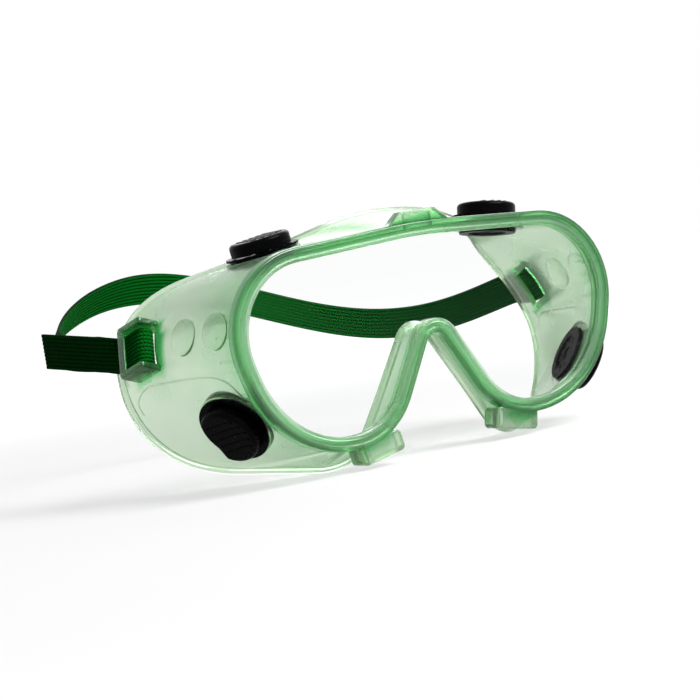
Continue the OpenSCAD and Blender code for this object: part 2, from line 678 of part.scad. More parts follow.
frame_body();
lens();
vent_seat("brow", -1);  // vent_seat_brow_left
vent_seat("brow", 1);  // vent_seat_brow_right
vent_seat("cheek", -1);  // vent_seat_cheek_left
vent_seat("cheek", 1);  // vent_seat_cheek_right
vent_cap("brow", -1);  // vent_cap_brow_left
vent_cap("brow", 1);  // vent_cap_brow_right
vent_cap("cheek", -1);  // vent_cap_cheek_left
vent_cap("cheek", 1);  // vent_cap_cheek_right
strap_rear();
strap_side(-1);  // strap_side_left
strap_side(1);  // strap_side_right
strap_tail(-1, tail_left);  // strap_tail_left
strap_tail(1, tail_right);  // strap_tail_right
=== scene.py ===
"""Safety goggles with indirect vents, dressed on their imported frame.

The mask and the strap are surfaces worked out from the same named sizes as the solids. The lens and the
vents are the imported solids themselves. Sizes of the pieces are in millimetres, and meshes in metres.
"""

import json
import logging
import math
from collections.abc import Callable
from dataclasses import dataclass, field
from enum import Enum

import bmesh
import bpy
import numpy as np
from mathutils import Matrix, Vector

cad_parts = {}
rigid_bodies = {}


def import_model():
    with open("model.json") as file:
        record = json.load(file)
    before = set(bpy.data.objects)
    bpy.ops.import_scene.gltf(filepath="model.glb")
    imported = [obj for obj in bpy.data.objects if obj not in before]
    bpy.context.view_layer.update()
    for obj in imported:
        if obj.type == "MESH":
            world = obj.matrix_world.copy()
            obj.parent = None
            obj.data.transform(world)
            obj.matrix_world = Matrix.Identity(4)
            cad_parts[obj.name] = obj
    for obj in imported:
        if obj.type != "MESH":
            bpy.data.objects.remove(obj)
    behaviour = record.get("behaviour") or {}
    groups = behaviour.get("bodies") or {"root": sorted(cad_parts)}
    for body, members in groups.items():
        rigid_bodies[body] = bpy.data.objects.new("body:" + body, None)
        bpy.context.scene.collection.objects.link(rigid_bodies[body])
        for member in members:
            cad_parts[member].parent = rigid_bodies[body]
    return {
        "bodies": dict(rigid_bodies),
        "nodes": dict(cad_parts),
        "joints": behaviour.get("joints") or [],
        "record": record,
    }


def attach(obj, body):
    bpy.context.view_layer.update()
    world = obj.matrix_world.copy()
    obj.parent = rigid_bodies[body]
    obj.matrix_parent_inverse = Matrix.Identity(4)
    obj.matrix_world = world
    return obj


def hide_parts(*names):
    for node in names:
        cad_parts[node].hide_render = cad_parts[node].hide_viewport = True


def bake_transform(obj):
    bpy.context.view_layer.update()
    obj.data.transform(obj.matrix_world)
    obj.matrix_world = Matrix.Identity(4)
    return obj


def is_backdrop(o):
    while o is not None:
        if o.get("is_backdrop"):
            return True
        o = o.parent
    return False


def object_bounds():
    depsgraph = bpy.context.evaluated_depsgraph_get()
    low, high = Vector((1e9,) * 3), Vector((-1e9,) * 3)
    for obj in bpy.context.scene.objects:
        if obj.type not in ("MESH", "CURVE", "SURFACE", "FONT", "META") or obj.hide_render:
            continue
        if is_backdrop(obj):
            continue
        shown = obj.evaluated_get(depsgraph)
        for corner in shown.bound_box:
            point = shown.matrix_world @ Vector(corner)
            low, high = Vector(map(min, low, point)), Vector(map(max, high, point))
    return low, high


LOG = logging.getLogger("goggles")
MM = 0.001
IMAGE_PX = 700
SENSOR_MM = 36.0
FLOOR_GAP = 0.2 * MM
UV_NAME = "UVMap"
# The attribute of the moulding's green, which also carries painted shade on the ring's right and top and on
# the brackets.
GREEN_AND_SHADE_NAME = "edge"
# The share of an edge that two arcs may fill, and the share of the wall over which its slope is read.
ARC_ROOM = 0.99
WALL_NUDGE = 0.05
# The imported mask's divisions of each arc and each straight run.
SOLID_ARC_STEPS = 9
SOLID_RUN_STEPS = 4
RIGHTWARD, REARWARD, UPRIGHT = np.eye(3)
MIRROR = np.array([-1.0, 1.0, 1.0])

Colour = tuple[float, float, float]
Corner = tuple[float, float, float]
Point = tuple[float, float, float]
Pair = tuple[float, float]
Objects = list[bpy.types.Object]


class Side(Enum):
    """Which side of the symmetry plane a piece is on, as its sign along X."""

    LEFT = -1
    RIGHT = 1


class Joining(Enum):
    """How closed meshes work on another, by the name that the modifier has for it."""

    ADD = "UNION"
    CUT = "DIFFERENCE"


def unit(vectors: np.ndarray) -> np.ndarray:
    """Return vectors divided by their lengths along the last axis."""
    return vectors / np.linalg.norm(vectors, axis=-1, keepdims=True)


def blend(a: np.ndarray, b: np.ndarray, share: np.ndarray | float) -> np.ndarray:
    """Return the point at a share of the way from a to b."""
    return a + (b - a) * share


def ease(share: np.ndarray | float) -> np.ndarray:
    """Return a share cut to 0..1 and eased at both ends, 3k squared less 2k cubed."""
    kept = np.clip(share, 0.0, 1.0)
    return kept * kept * (3 - 2 * kept)


def rounded(corners: list[Corner], steps: int, run: int, closed: bool) -> np.ndarray:
    """Round the corners of a line with tangent arcs.

    Each corner becomes an arc of its own radius, cut down where two neighbouring arcs would overlap,
    and each straight run between two arcs is divided evenly.

    Args:
        corners: Corner points and radii as (x, z, r).
        steps: Divisions of each arc.
        run: Divisions of each straight run.
        closed: Whether the last corner joins the first.

    Returns:
        Array of points, shape (n, 2).
    """
    points = np.array([c[:2] for c in corners], float)
    radii = np.array([c[2] for c in corners], float)
    back = unit(np.roll(points, 1, 0) - points)
    ahead = unit(np.roll(points, -1, 0) - points)
    half = np.arccos(np.clip((back * ahead).sum(1), -1, 1)) / 2
    tangent = radii / np.tan(half)
    if not closed:
        tangent[[0, -1]] = 0.0
    edge = np.linalg.norm(np.roll(points, -1, 0) - points, axis=1)
    room = np.minimum(1.0, ARC_ROOM * edge / np.maximum(tangent + np.roll(tangent, -1), 1e-9))
    kept = np.minimum(room, np.roll(room, 1))
    arcs = []
    share = np.linspace(0, 1, steps + 1)[:, None]
    for i, point in enumerate(points):
        if tangent[i] == 0.0:
            arcs.append(point[None])
            continue
        radius = radii[i] * kept[i]
        centre = point + unit(back[i] + ahead[i]) * radius / math.sin(half[i])
        start = point + back[i] * tangent[i] * kept[i] - centre
        end = point + ahead[i] * tangent[i] * kept[i] - centre
        first = math.atan2(start[1], start[0])
        sweep = (math.atan2(end[1], end[0]) - first + math.pi) % (2 * math.pi) - math.pi
        turn = first + sweep * share
        arcs.append(centre + radius * np.hstack([np.cos(turn), np.sin(turn)]))
    out = []
    inner = np.linspace(0, 1, run + 1)[1:-1, None]
    for i, arc in enumerate(arcs):
        out.append(arc)
        if closed or i + 1 < len(arcs):
            out.append(blend(arc[-1], arcs[(i + 1) % len(arcs)][0], inner))
    return np.concatenate(out)


def spline(points: np.ndarray, steps: int) -> np.ndarray:
    """Carry a smooth line through points, each span divided evenly, by the Catmull-Rom formula.

    Args:
        points: Points of the line, shape (n, k).
        steps: Divisions of each span.

    Returns:
        The finer line, shape ((n - 1) * steps + 1, k).
    """
    ends = np.concatenate([2 * points[:1] - points[1:2], points, 2 * points[-1:] - points[-2:-1]])
    p0, p1, p2, p3 = (ends[i:len(ends) - 3 + i, None] for i in range(4))
    t = np.linspace(0, 1, steps, endpoint=False)[None, :, None]
    curve = p1 + t / 2 * (p2 - p0 + t * (2 * p0 - 5 * p1 + 4 * p2 - p3 + t * (3 * p1 - p0 - 3 * p2 + p3)))
    return np.concatenate([curve.reshape(-1, points.shape[1]), points[-1:]])


def outward(line: np.ndarray) -> np.ndarray:
    """Return the outward normals of a closed line that runs clockwise in its plane."""
    step = unit(np.roll(line, -1, 0) - np.roll(line, 1, 0))
    return np.stack([-step[:, 1], step[:, 0]], 1)


def grid_faces(rows: int, cols: int, close_rows: bool, close_cols: bool) -> np.ndarray:
    """Number the quads of a grid of points.

    Args:
        rows: Number of points along the first parameter.
        cols: Number of points along the second parameter.
        close_rows: Whether the last row joins the first.
        close_cols: Whether the last column joins the first.

    Returns:
        Array of corner indices, shape (quads, 4).
    """
    i = np.arange(rows if close_rows else rows - 1)
    j = np.arange(cols if close_cols else cols - 1)
    i, j = (g.ravel() for g in np.meshgrid(i, j, indexing="ij"))
    i2, j2 = (i + 1) % rows, (j + 1) % cols
    return np.stack([i * cols + j, i2 * cols + j, i2 * cols + j2, i * cols + j2], 1)


def surface(name: str, grid: np.ndarray, close_rows: bool = False, close_cols: bool = False,
            uvs: np.ndarray | None = None, caps: bool = False, crease: float = 35.0) -> bpy.types.Object:
    """Make a mesh object of a grid of points.

    Args:
        name: Name of the object and its mesh.
        grid: Points in metres, shape (rows, cols, 3).
        close_rows: Whether the last row joins the first.
        close_cols: Whether the last column joins the first.
        uvs: Map coordinates for each point, shape (rows, cols, 2).
        caps: Whether the first and last rows are closed by a face.
        crease: Angle in degrees past which an edge stays sharp.

    Returns:
        The new object, at the origin.
    """
    rows, cols = grid.shape[:2]
    faces = grid_faces(rows, cols, close_rows, close_cols).tolist()
    if caps:
        numbers = np.arange(rows * cols).reshape(rows, cols)
        faces += [numbers[0, ::-1].tolist(), numbers[-1].tolist()]
    mesh = bpy.data.meshes.new(name)
    mesh.from_pydata(grid.reshape(-1, 3).tolist(), [], faces)
    layer = mesh.uv_layers.new(name=UV_NAME)
    if uvs is not None:
        index = np.empty(len(mesh.loops), np.int32)
        mesh.loops.foreach_get("vertex_index", index)
        layer.data.foreach_set("uv", uvs.reshape(-1, 2)[index].astype(np.float32).ravel())
    mesh.update()
    face_outward(mesh)
    smooth(mesh, crease)
    obj = bpy.data.objects.new(name, mesh)
    bpy.context.scene.collection.objects.link(obj)
    return obj


def face_outward(mesh: bpy.types.Mesh) -> None:
    """Turn the faces of a closed mesh outward.

    Args:
        mesh: Mesh that is changed.
    """
    work = bmesh.new()
    work.from_mesh(mesh)
    bmesh.ops.recalc_face_normals(work, faces=work.faces)
    work.to_mesh(mesh)
    work.free()


def smooth(mesh: bpy.types.Mesh, crease: float) -> None:
    """Shade a mesh smooth, apart from edges past the crease angle in degrees."""
    mesh.polygons.foreach_set("use_smooth", np.ones(len(mesh.polygons), bool))
    mesh.set_sharp_from_angle(angle=math.radians(crease))


def combine(target: bpy.types.Object, tools: Objects, how: Joining, crease: float) -> None:
    """Add closed meshes to a closed mesh, or cut them out of it.

    Args:
        target: Object that is changed.
        tools: Objects that are used up.
        how: Whether the tools are added or cut out.
        crease: Angle in degrees past which an edge stays sharp.
    """
    for tool in tools:
        modifier = target.modifiers.new(how.name.title(), "BOOLEAN")
        modifier.operation = how.value
        modifier.solver = "MANIFOLD"
        modifier.object = tool
    evaluated = target.evaluated_get(bpy.context.evaluated_depsgraph_get())
    mesh = bpy.data.meshes.new_from_object(evaluated)
    target.modifiers.clear()
    target.data = mesh
    smooth(mesh, crease)
    for tool in tools:
        bpy.data.objects.remove(tool)


class NodeTree:
    """Small helper that adds and links shader nodes in one tree."""

    def __init__(self, tree: bpy.types.NodeTree) -> None:
        """Keep the tree that nodes are added to."""
        self.tree = tree

    def add(self, kind: str, **values: object) -> bpy.types.Node:
        """Add a node.

        Args:
            kind: Node type without its ShaderNode prefix.
            **values: Node properties by name, or input values by socket name with underscores for spaces.

        Returns:
            The new node.
        """
        node = self.tree.nodes.new(kind if kind.startswith("Node") else "ShaderNode" + kind)
        for key, value in values.items():
            if hasattr(node, key):
                setattr(node, key, value)
            else:
                node.inputs[key.replace("_", " ")].default_value = value
        return node

    def link(self, source: bpy.types.NodeSocket, target: bpy.types.NodeSocket) -> None:
        """Link an output to an input."""
        self.tree.links.new(source, target)

    def math(self, operation: str, first: bpy.types.NodeSocket,
             second: bpy.types.NodeSocket | float) -> bpy.types.NodeSocket:
        """Add an operation on an output and another output or a number.

        Args:
            operation: The Math node's name for it.
            first: Output that is worked on.
            second: Other output, or a number.

        Returns:
            The output with the result.
        """
        node = self.add("Math", operation=operation)
        self.link(first, node.inputs[0])
        if isinstance(second, float):
            node.inputs[1].default_value = second
        else:
            self.link(second, node.inputs[1])
        return node.outputs["Value"]

    def group(self, build: Callable[[], bpy.types.NodeTree], **values: float) -> bpy.types.Node:
        """Place a group that is built once.

        Args:
            build: Function that builds the group and has its name.
            **values: Values of the inputs by name.

        Returns:
            The new node.
        """
        shared = bpy.data.node_groups.get(build.__name__) or build()
        node = self.add("Group")
        node.node_tree = shared
        for key, value in values.items():
            node.inputs[key].default_value = value
        return node

    def tones(self, share: bpy.types.NodeSocket, shader: bpy.types.Node, *tones: Colour) -> None:
        """Colour a shader with tones that are evenly spaced along a share from 0 to 1.

        Args:
            share: Output that gives the share.
            shader: Shader whose base colour is set.
            *tones: Two or three colours.
        """
        ramp = self.add("ValToRGB")
        stops = ramp.color_ramp.elements
        for place in np.linspace(0, 1, len(tones))[1:-1]:
            stops.new(place)
        for stop, tone in zip(stops, tones):
            stop.color = (*tone, 1.0)
        self.link(share, ramp.inputs["Fac"])
        self.link(ramp.outputs["Color"], shader.inputs["Base Color"])

    def relief(self, height: bpy.types.NodeSocket, shader: bpy.types.Node, strength: float,
               depth: float) -> None:
        """Raise the surface of a shader by a height.

        Args:
            height: Output that gives the height from 0 to 1.
            shader: Shader whose normal is set.
            strength: Share of the relief that shows.
            depth: Depth of the relief in millimetres.
        """
        bump = self.add("Bump", Strength=strength, Distance=depth * MM)
        self.link(height, bump.inputs["Height"])
        self.link(bump.outputs["Normal"], shader.inputs["Normal"])


def new_material(
        name: str, **inputs: object) -> tuple[bpy.types.Material, NodeTree, bpy.types.Node, bpy.types.Node]:
    """Make a node material.

    Args:
        name: Name of the material.
        **inputs: Values of the shader's sockets, with underscores for spaces.

    Returns:
        The material, its tree, its Principled shader and its output.
    """
    material = bpy.data.materials.new(name)
    material.use_nodes = True
    material.node_tree.nodes.clear()
    tree = NodeTree(material.node_tree)
    shader = tree.add("BsdfPrincipled", **inputs)
    output = tree.add("OutputMaterial")
    tree.link(shader.outputs["BSDF"], output.inputs["Surface"])
    return material, tree, shader, output


def new_group(name: str, inputs: dict[str, float],
              outputs: list[str]) -> tuple[NodeTree, bpy.types.Node, bpy.types.Node]:
    """Make a shader group of plain values.

    Args:
        name: Name of the group.
        inputs: Names of the inputs and their first values.
        outputs: Names of the outputs.

    Returns:
        The group's tree, its input node and its output node.
    """
    group = bpy.data.node_groups.new(name, "ShaderNodeTree")
    for key, value in inputs.items():
        group.interface.new_socket(key, in_out="INPUT", socket_type="NodeSocketFloat").default_value = value
    for key in outputs:
        group.interface.new_socket(key, in_out="OUTPUT", socket_type="NodeSocketFloat")
    tree = NodeTree(group)
    return tree, tree.add("NodeGroupInput"), tree.add("NodeGroupOutput")


def moulded_grain() -> bpy.types.NodeTree:
    """Build the grain of a moulding: noise on the object, and a roughness that follows it between two values.

    Returns:
        The group, with the noise as Grain and the roughness as Roughness.
    """
    first_values = {"Scale": 45.0, "Detail": 2.0, "Smooth": 0.1, "Rough": 0.3}
    usual_noise = (0.3, 0.7)
    tree, given, result = new_group("moulded_grain", first_values, ["Grain", "Roughness"])
    where = tree.add("TexCoord")
    noise = tree.add("TexNoise")
    tree.link(where.outputs["Object"], noise.inputs["Vector"])
    tree.link(given.outputs["Scale"], noise.inputs["Scale"])
    tree.link(given.outputs["Detail"], noise.inputs["Detail"])
    rough = tree.add("MapRange", From_Min=usual_noise[0], From_Max=usual_noise[1])
    tree.link(noise.outputs["Fac"], rough.inputs["Value"])
    tree.link(given.outputs["Smooth"], rough.inputs["To Min"])
    tree.link(given.outputs["Rough"], rough.inputs["To Max"])
    tree.link(noise.outputs["Fac"], result.inputs["Grain"])
    tree.link(rough.outputs["Result"], result.inputs["Roughness"])
    return tree.tree


def herringbone() -> bpy.types.NodeTree:
    """Build the weave of a ribbed elastic: stitches slant one way on one rib and the other way on the next.

    The map runs along the strap in metres and across it from 0 to 1. A rib is one step of the map across
    times the number of ribs. A stitch is one step of the map along over the stitch length, moved by the
    rib's zigzag.

    Returns:
        The group, with the painted shade of the grooves between ribs and of the gaps between stitches as
        Shade, and the raised stitches as Height.
    """
    stitch_side = (0.08, 0.36)
    groove_side = (0.03, 0.3)
    # Painted shade: how dark the grooves between ribs and the gaps between stitches are made.
    groove_shade = 0.12
    stitch_shade = 0.55
    tree, given, result = new_group("herringbone", {"Ribs": 9.0, "Stitch": 1.1 * MM}, ["Shade", "Height"])
    where = tree.add("UVMap", uv_map=UV_NAME)
    split = tree.add("SeparateXYZ")
    tree.link(where.outputs["UV"], split.inputs["Vector"])
    across = tree.math("MULTIPLY", split.outputs["Y"], given.outputs["Ribs"])
    along = tree.math("DIVIDE", split.outputs["X"], given.outputs["Stitch"])
    slant = tree.math("ADD", along, tree.math("PINGPONG", across, 1.0))
    stitch = tree.add("MapRange", From_Min=stitch_side[0], From_Max=stitch_side[1],
                      interpolation_type="SMOOTHSTEP")
    tree.link(tree.math("PINGPONG", slant, 0.5), stitch.inputs["Value"])
    groove = tree.add("MapRange", From_Min=groove_side[0], From_Max=groove_side[1], To_Min=groove_shade,
                      interpolation_type="SMOOTHSTEP")
    tree.link(tree.math("PINGPONG", across, 0.5), groove.inputs["Value"])
    shade = tree.add("MapRange", To_Min=stitch_shade)
    tree.link(stitch.outputs["Result"], shade.inputs["Value"])
    woven = tree.math("MULTIPLY", shade.outputs["Result"], groove.outputs["Result"])
    tree.link(woven, result.inputs["Shade"])
    tree.link(stitch.outputs["Result"], result.inputs["Height"])
    return tree.tree


@dataclass(frozen=True)
class MouldedFinish:
    """What the moulded finishes share: a grain, and a roughness that follows it between two values."""

    name: str
    grain_scale: float
    grain_detail: float
    roughness: Pair

    def grain(self, tree: NodeTree, shader: bpy.types.Node) -> bpy.types.NodeSocket:
        """Place the grain and give a shader its roughness.

        Args:
            tree: Tree of the material.
            shader: Shader whose roughness is set.

        Returns:
            The output with the grain.
        """
        node = tree.group(moulded_grain, Scale=self.grain_scale, Detail=self.grain_detail,
                          Smooth=self.roughness[0], Rough=self.roughness[1])
        tree.link(node.outputs["Roughness"], shader.inputs["Roughness"])
        return node.outputs["Grain"]


@dataclass(frozen=True)
class VinylFinish(MouldedFinish):
    """Soft translucent green vinyl: clear through thin walls, deep green along edges."""

    name: str = "mask_vinyl"
    grain_scale: float = 45.0
    grain_detail: float = 2.0
    roughness: Pair = (0.17, 0.31)
    body: Colour = (0.955, 0.975, 0.94)
    edge: Colour = (0.20, 0.72, 0.29)
    deep: Colour = (0.008, 0.24, 0.05)
    absorb: Colour = (0.21, 0.66, 0.12)
    density: float = 190.0
    cloud: float = 0.07
    cloud_grain: Pair = (0.4, 0.75)
    clear: float = 0.86
    gloss: float = 0.25
    gloss_blur: float = 0.12
    ior: float = 1.42
    swirl_scale: float = 28.0
    swirl_detail: float = 1.0
    swirl_bend: float = 0.8
    swirl_strength: float = 0.2
    swirl_depth: float = 0.6

    def material(self) -> bpy.types.Material:
        """Make the material: a fine moulded grain on a shader that takes light through its depth.

        Returns:
            The new material, which is greener where the attribute of the green and painted shade is higher.
        """
        material, tree, shader, output = new_material(
            self.name, Transmission_Weight=self.clear, IOR=self.ior, Coat_Weight=self.gloss,
            Coat_Roughness=self.gloss_blur)
        green = tree.add("Attribute", attribute_name=GREEN_AND_SHADE_NAME)
        cloud = tree.add("MapRange", From_Min=self.cloud_grain[0], From_Max=self.cloud_grain[1], To_Min=0.0,
                         To_Max=self.cloud)
        tree.link(self.grain(tree, shader), cloud.inputs["Value"])
        # The attribute's green includes painted shade on the ring's right and top and on the brackets; the
        # cloud is a random tone.
        clouded = tree.math("ADD", green.outputs["Fac"], cloud.outputs["Result"])
        tree.tones(clouded, shader, self.body, self.edge, self.deep)
        where = tree.add("TexCoord")
        swirl = tree.add("TexNoise", Scale=self.swirl_scale, Detail=self.swirl_detail,
                         Distortion=self.swirl_bend)
        tree.link(where.outputs["Object"], swirl.inputs["Vector"])
        tree.relief(swirl.outputs["Fac"], shader, self.swirl_strength, self.swirl_depth)
        depth = tree.add("VolumeAbsorption", Density=self.density, Color=(*self.absorb, 1.0))
        tree.link(depth.outputs["Volume"], output.inputs["Volume"])
        return material


@dataclass(frozen=True)
class LensFinish(MouldedFinish):
    """Clear polycarbonate with the faintest grey and a slight uneven haze."""

    name: str = "lens_clear"
    grain_scale: float = 60.0
    grain_detail: float = 2.0
    roughness: Pair = (0.0, 0.02)
    tint: Colour = (0.965, 0.97, 0.97)
    ior: float = 1.12

    def material(self) -> bpy.types.Material:
        """Make the material: a polished clear sheet.

        Returns:
            The new material.
        """
        material, tree, shader, _ = new_material(
            self.name, Base_Color=(*self.tint, 1.0), Transmission_Weight=1.0, IOR=self.ior)
        self.grain(tree, shader)
        return material


@dataclass(frozen=True)
class VentFinish(MouldedFinish):
    """Black moulded plastic with a low gloss."""

    name: str = "vent_black"
    grain_scale: float = 700.0
    grain_detail: float = 4.0
    roughness: Pair = (0.22, 0.36)
    dark: Colour = (0.0005, 0.0005, 0.0008)
    light: Colour = (0.0016, 0.0015, 0.0024)
    shine: float = 0.03
    relief_strength: float = 0.15
    relief_depth: float = 0.2

    def material(self) -> bpy.types.Material:
        """Make the material: a soft moulded mottle in colour, gloss and surface.

        Returns:
            The new material.
        """
        material, tree, shader, _ = new_material(self.name, Specular_IOR_Level=self.shine)
        mottle = self.grain(tree, shader)
        tree.tones(mottle, shader, self.dark, self.light)
        tree.relief(mottle, shader, self.relief_strength, self.relief_depth)
        return material


@dataclass(frozen=True)
class WebbingFinish:
    """Dark green elastic webbing with a knitted herringbone."""

    name: str = "strap_webbing"
    # The deep tone shows only in the painted shade of the grooves and stitch gaps.
    deep: Colour = (0.0002, 0.005, 0.0004)
    bright: Colour = (0.001, 0.16, 0.012)
    ribs: int = 9
    stitch: float = 1.1
    roughness: float = 0.8
    shine: float = 0.03
    relief_strength: float = 0.5
    relief_depth: float = 0.35

    def material(self) -> bpy.types.Material:
        """Make the material: painted shade darkens the grooves between the ribs and the gaps between the
        stitches, and a bump raises the stitches.

        Returns:
            The new material.
        """
        material, tree, shader, _ = new_material(
            self.name, Roughness=self.roughness, Specular_IOR_Level=self.shine)
        weave = tree.group(herringbone, Ribs=float(self.ribs), Stitch=self.stitch * MM)
        tree.tones(weave.outputs["Shade"], shader, self.deep, self.bright)
        tree.relief(weave.outputs["Height"], shader, self.relief_strength, self.relief_depth)
        return material


@dataclass(frozen=True)
class TailWebbingFinish(WebbingFinish):
    """The webbing of the loose tails: a darker copy of the same webbing, which paints the tails in shade."""

    name: str = "tail_webbing"
    # Painted shade: a darker bright tone than the loop's webbing.
    bright: Colour = (0.0006, 0.05, 0.004)


@dataclass
class Place:
    """A spot on the object: its middle in millimetres and its three directions."""

    middle: np.ndarray
    x: np.ndarray
    y: np.ndarray
    z: np.ndarray

    def world(self, points: np.ndarray) -> np.ndarray:
        """Return local points in metres in the object's frame."""
        turned = points[..., :1] * self.x + points[..., 1:2] * self.y + points[..., 2:] * self.z
        return (self.middle + turned) * MM

    def on(self, side: Side) -> "Place":
        """Return the spot itself for the right, or its mirror image for the left."""
        flip = np.array([side.value, 1.0, 1.0])
        return Place(self.middle * flip, self.x * flip, self.y * flip, self.z * flip)

    def moved(self, x: float, y: float, z: float) -> "Place":
        """Return the spot moved along its own directions."""
        return Place(self.middle + self.x * x + self.y * y + self.z * z, self.x, self.y, self.z)


def place_out(middle: np.ndarray, out: np.ndarray) -> Place:
    """Set up a spot whose z points out of the wall and whose x points to the rear along it.

    Args:
        middle: Middle of the spot in millimetres.
        out: Direction out of the wall, of any length.

    Returns:
        The spot, with its y up the wall.
    """
    z = unit(out)
    x = unit(REARWARD - z * z[1])
    return Place(middle, x, np.cross(z, x), z)


def slab(name: str, place: Place, outline: np.ndarray, low: float, high: float,
         edge: float = 0.0) -> bpy.types.Object:
    """Make a flat block: its outline is carried up, and drawn in by a quarter circle at both ends.

    Args:
        name: Name of the new object.
        place: Spot whose x and y the outline is drawn in.
        outline: Anticlockwise outline in millimetres, shape (n, 2).
        low: Height of the bottom.
        high: Height of the top.
        edge: Rounding of both edges.

    Returns:
        The new object.
    """
    edge_steps = 5
    turn = np.linspace(0, math.pi / 2, edge_steps)
    inset = edge * (1 - np.sin(turn))
    rise = edge * (1 - np.cos(turn))
    inset = np.concatenate([inset, inset[::-1]])
    height = np.concatenate([low + rise, high - rise[::-1]])
    line = outline[None] + outward(outline)[None] * inset[:, None, None]  # inward, as it runs anticlockwise
    grid = np.concatenate([line, np.broadcast_to(height[:, None, None], (*line.shape[:2], 1))], 2)
    return surface(name, place.world(grid), close_cols=True, caps=True)


def circle(radius: float, steps: int = 64) -> np.ndarray:
    """Return an anticlockwise circle."""
    turn = np.linspace(0, 2 * math.pi, steps, endpoint=False)
    return radius * np.stack([np.cos(turn), np.sin(turn)], 1)


def block(width: float, height: float, radius: float, steps: int = 6, run: int = 2) -> np.ndarray:
    """Return an anticlockwise rounded rectangle about the middle."""
    x, y = width / 2, height / 2
    return rounded([(x, -y, radius), (x, y, radius), (-x, y, radius), (-x, -y, radius)], steps, run, True)


